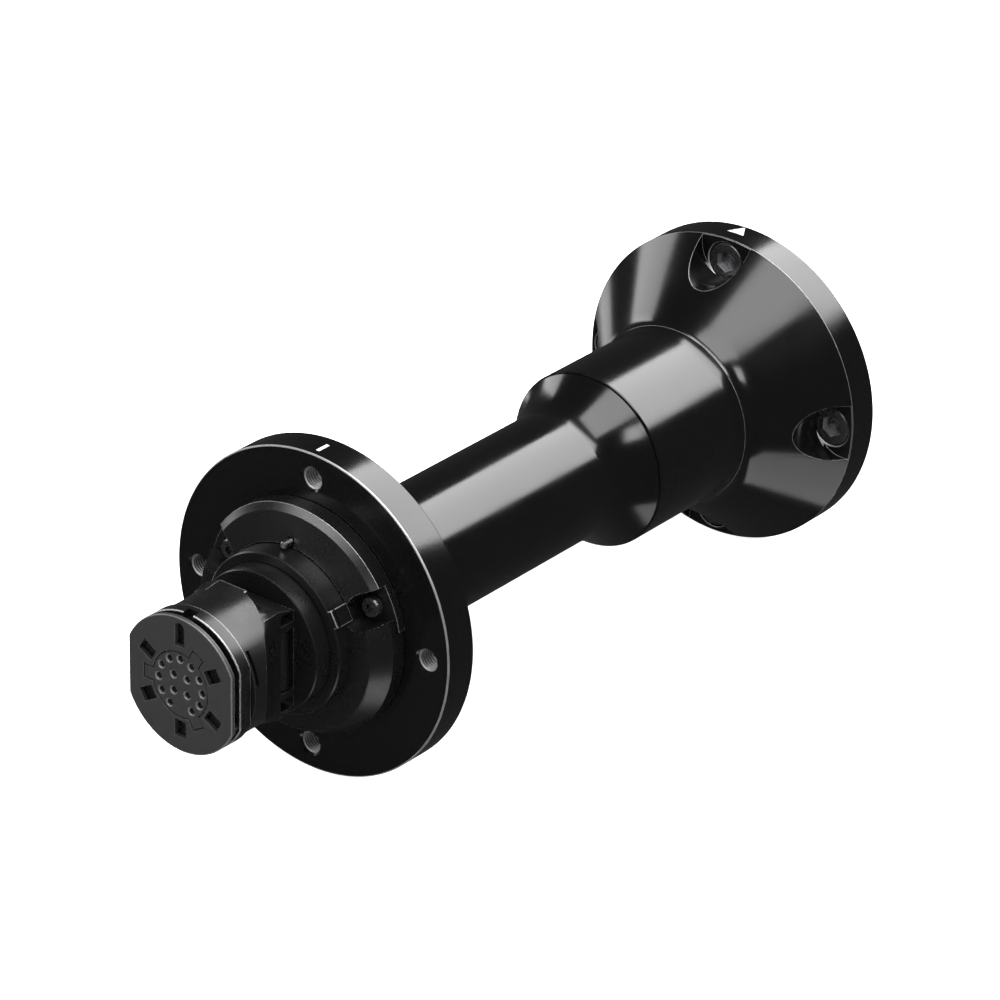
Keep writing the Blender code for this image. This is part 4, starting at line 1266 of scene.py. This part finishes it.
class BuildStage(Piece, bpy.types.Operator):
    """Lay the pale floor, set the soft boxes and place the camera"""

    bl_idname = "shaft.stage"
    bl_label = "Floor, lights and camera"

    def execute(self, context):
        deselect()
        bpy.ops.mesh.primitive_circle_add(vertices=96, radius=4.0, fill_type="NGON", location=(0, 0, FLOOR_Z))
        floor = named("floor")
        settle(floor)
        floor_look = Shader("pale_floor", (0.9, 0.9, 0.9), 0.9)
        cloud = floor_look.noise(3.0)
        floor_look.set("Base Color", floor_look.mix(cloud, (0.93, 0.93, 0.93), (0.95, 0.95, 0.95)))
        floor_look.set("Emission Color", (1.0, 1.0, 1.0, 1.0))
        floor_look.set("Emission Strength", 1.0)
        floor.data.materials.append(floor_look.material)
        floor.visible_glossy = False

        world = bpy.data.worlds.new("studio")
        context.scene.world = world
        world.use_nodes = True
        world.node_tree.nodes["Background"].inputs["Color"].default_value = (1, 1, 1, 1)
        world.node_tree.nodes["Background"].inputs["Strength"].default_value = 0.05

        soft_box("key_strip", (0.17, 0.70, 0.69), 0.95, 0.5, 8.0)
        soft_box("top_panel", (0.20, -0.14, 0.95), 0.72, 1.05, 6.0)
        soft_box("left_wall", (-0.95, 0.03, 0.32), 0.6, 0.36, 4.0, (0, 1, 0))
        soft_box("left_low", (-0.88, 0.38, -0.28), 0.3, 0.2, 1.3, (0, 1, 0))
        soft_box("right_low", (0.50, -0.20, -0.80), 0.5, 0.6, 2.0)
        soft_box("front_strip", (-0.28, -0.86, 0.45), 0.8, 0.2, 9.0)
        soft_box("front_left", (-0.96, -0.26, -0.04), 0.2, 0.25, 4.0, (0, 1, 0))
        soft_box("front_right", (0.34, -0.93, 0.08), 0.16, 0.25, 5.0)
        soft_box("thread_glint", (0.73, -0.27, 0.63), 0.25, 0.25, 8.0)

        azimuth, elevation, roll = (math.radians(degrees) for degrees in (38.04, 27.27, 1.46))
        distance, shift_right, shift_up = 1.16299, 0.32 * MM, 2.10 * MM
        sin_a, cos_a = math.sin(azimuth), math.cos(azimuth)
        sin_e, cos_e = math.sin(elevation), math.cos(elevation)
        ahead = Vector((-sin_a * cos_e, cos_a * cos_e, -sin_e))
        level = Vector((cos_a, sin_a, 0))
        upward = Vector((-sin_a * sin_e, cos_a * sin_e, cos_e))
        right = level * math.cos(roll) + upward * math.sin(roll)
        up = upward * math.cos(roll) - level * math.sin(roll)
        place = Vector(AIM) - ahead * distance + right * shift_right + up * shift_up
        bpy.ops.object.camera_add()
        camera = bpy.context.object
        camera.name = "camera"
        turned = Matrix((right, up, -ahead)).transposed().to_4x4()
        camera.matrix_world = Matrix.Translation(place) @ turned
        camera.data.lens = 172.24
        camera.data.sensor_width = 36.0
        camera.data.clip_end = 20.0
        context.scene.camera = camera
        context.scene.view_settings.view_transform = "Standard"
        return {"FINISHED"}


class ShaftPanel(bpy.types.Panel):
    """Lists what can be built"""

    bl_idname = "VIEW3D_PT_shaft"
    bl_label = "Shaft extension"
    bl_space_type = "VIEW_3D"
    bl_region_type = "UI"
    bl_category = "Shaft"

    def draw(self, context):
        for group in (context.scene.shaft_finishes, context.scene.shaft_sizes):
            column = self.layout.column()
            for name in group.__annotations__:
                column.prop(group, name)
        for operator in OPERATORS:
            self.layout.operator(operator.bl_idname)


OPERATORS = (
    BuildFrontFlange,
    BuildTube,
    BuildBell,
    BuildCollar,
    BuildNose,
    BuildHead,
    BuildRearContacts,
    FinishHiddenParts,
    BuildStage,
)
CLASSES = (ShaftFinishes, ShaftSizes) + OPERATORS + (ShaftPanel,)


def register():
    for item in CLASSES:
        bpy.utils.register_class(item)
    bpy.types.Scene.shaft_finishes = bpy.props.PointerProperty(type=ShaftFinishes)
    bpy.types.Scene.shaft_sizes = bpy.props.PointerProperty(type=ShaftSizes)


def unregister():
    del bpy.types.Scene.shaft_sizes
    del bpy.types.Scene.shaft_finishes
    for item in reversed(CLASSES):
        bpy.utils.unregister_class(item)


def main():
    register()
    bpy.ops.shaft.front_flange()
    bpy.ops.shaft.tube()
    bpy.ops.shaft.bell()
    bpy.ops.shaft.collar()
    bpy.ops.shaft.nose()
    bpy.ops.shaft.head()
    bpy.ops.shaft.rear_contacts()
    bpy.ops.shaft.hidden_parts()
    bpy.ops.shaft.stage()


if __name__ == "__main__":
    main()
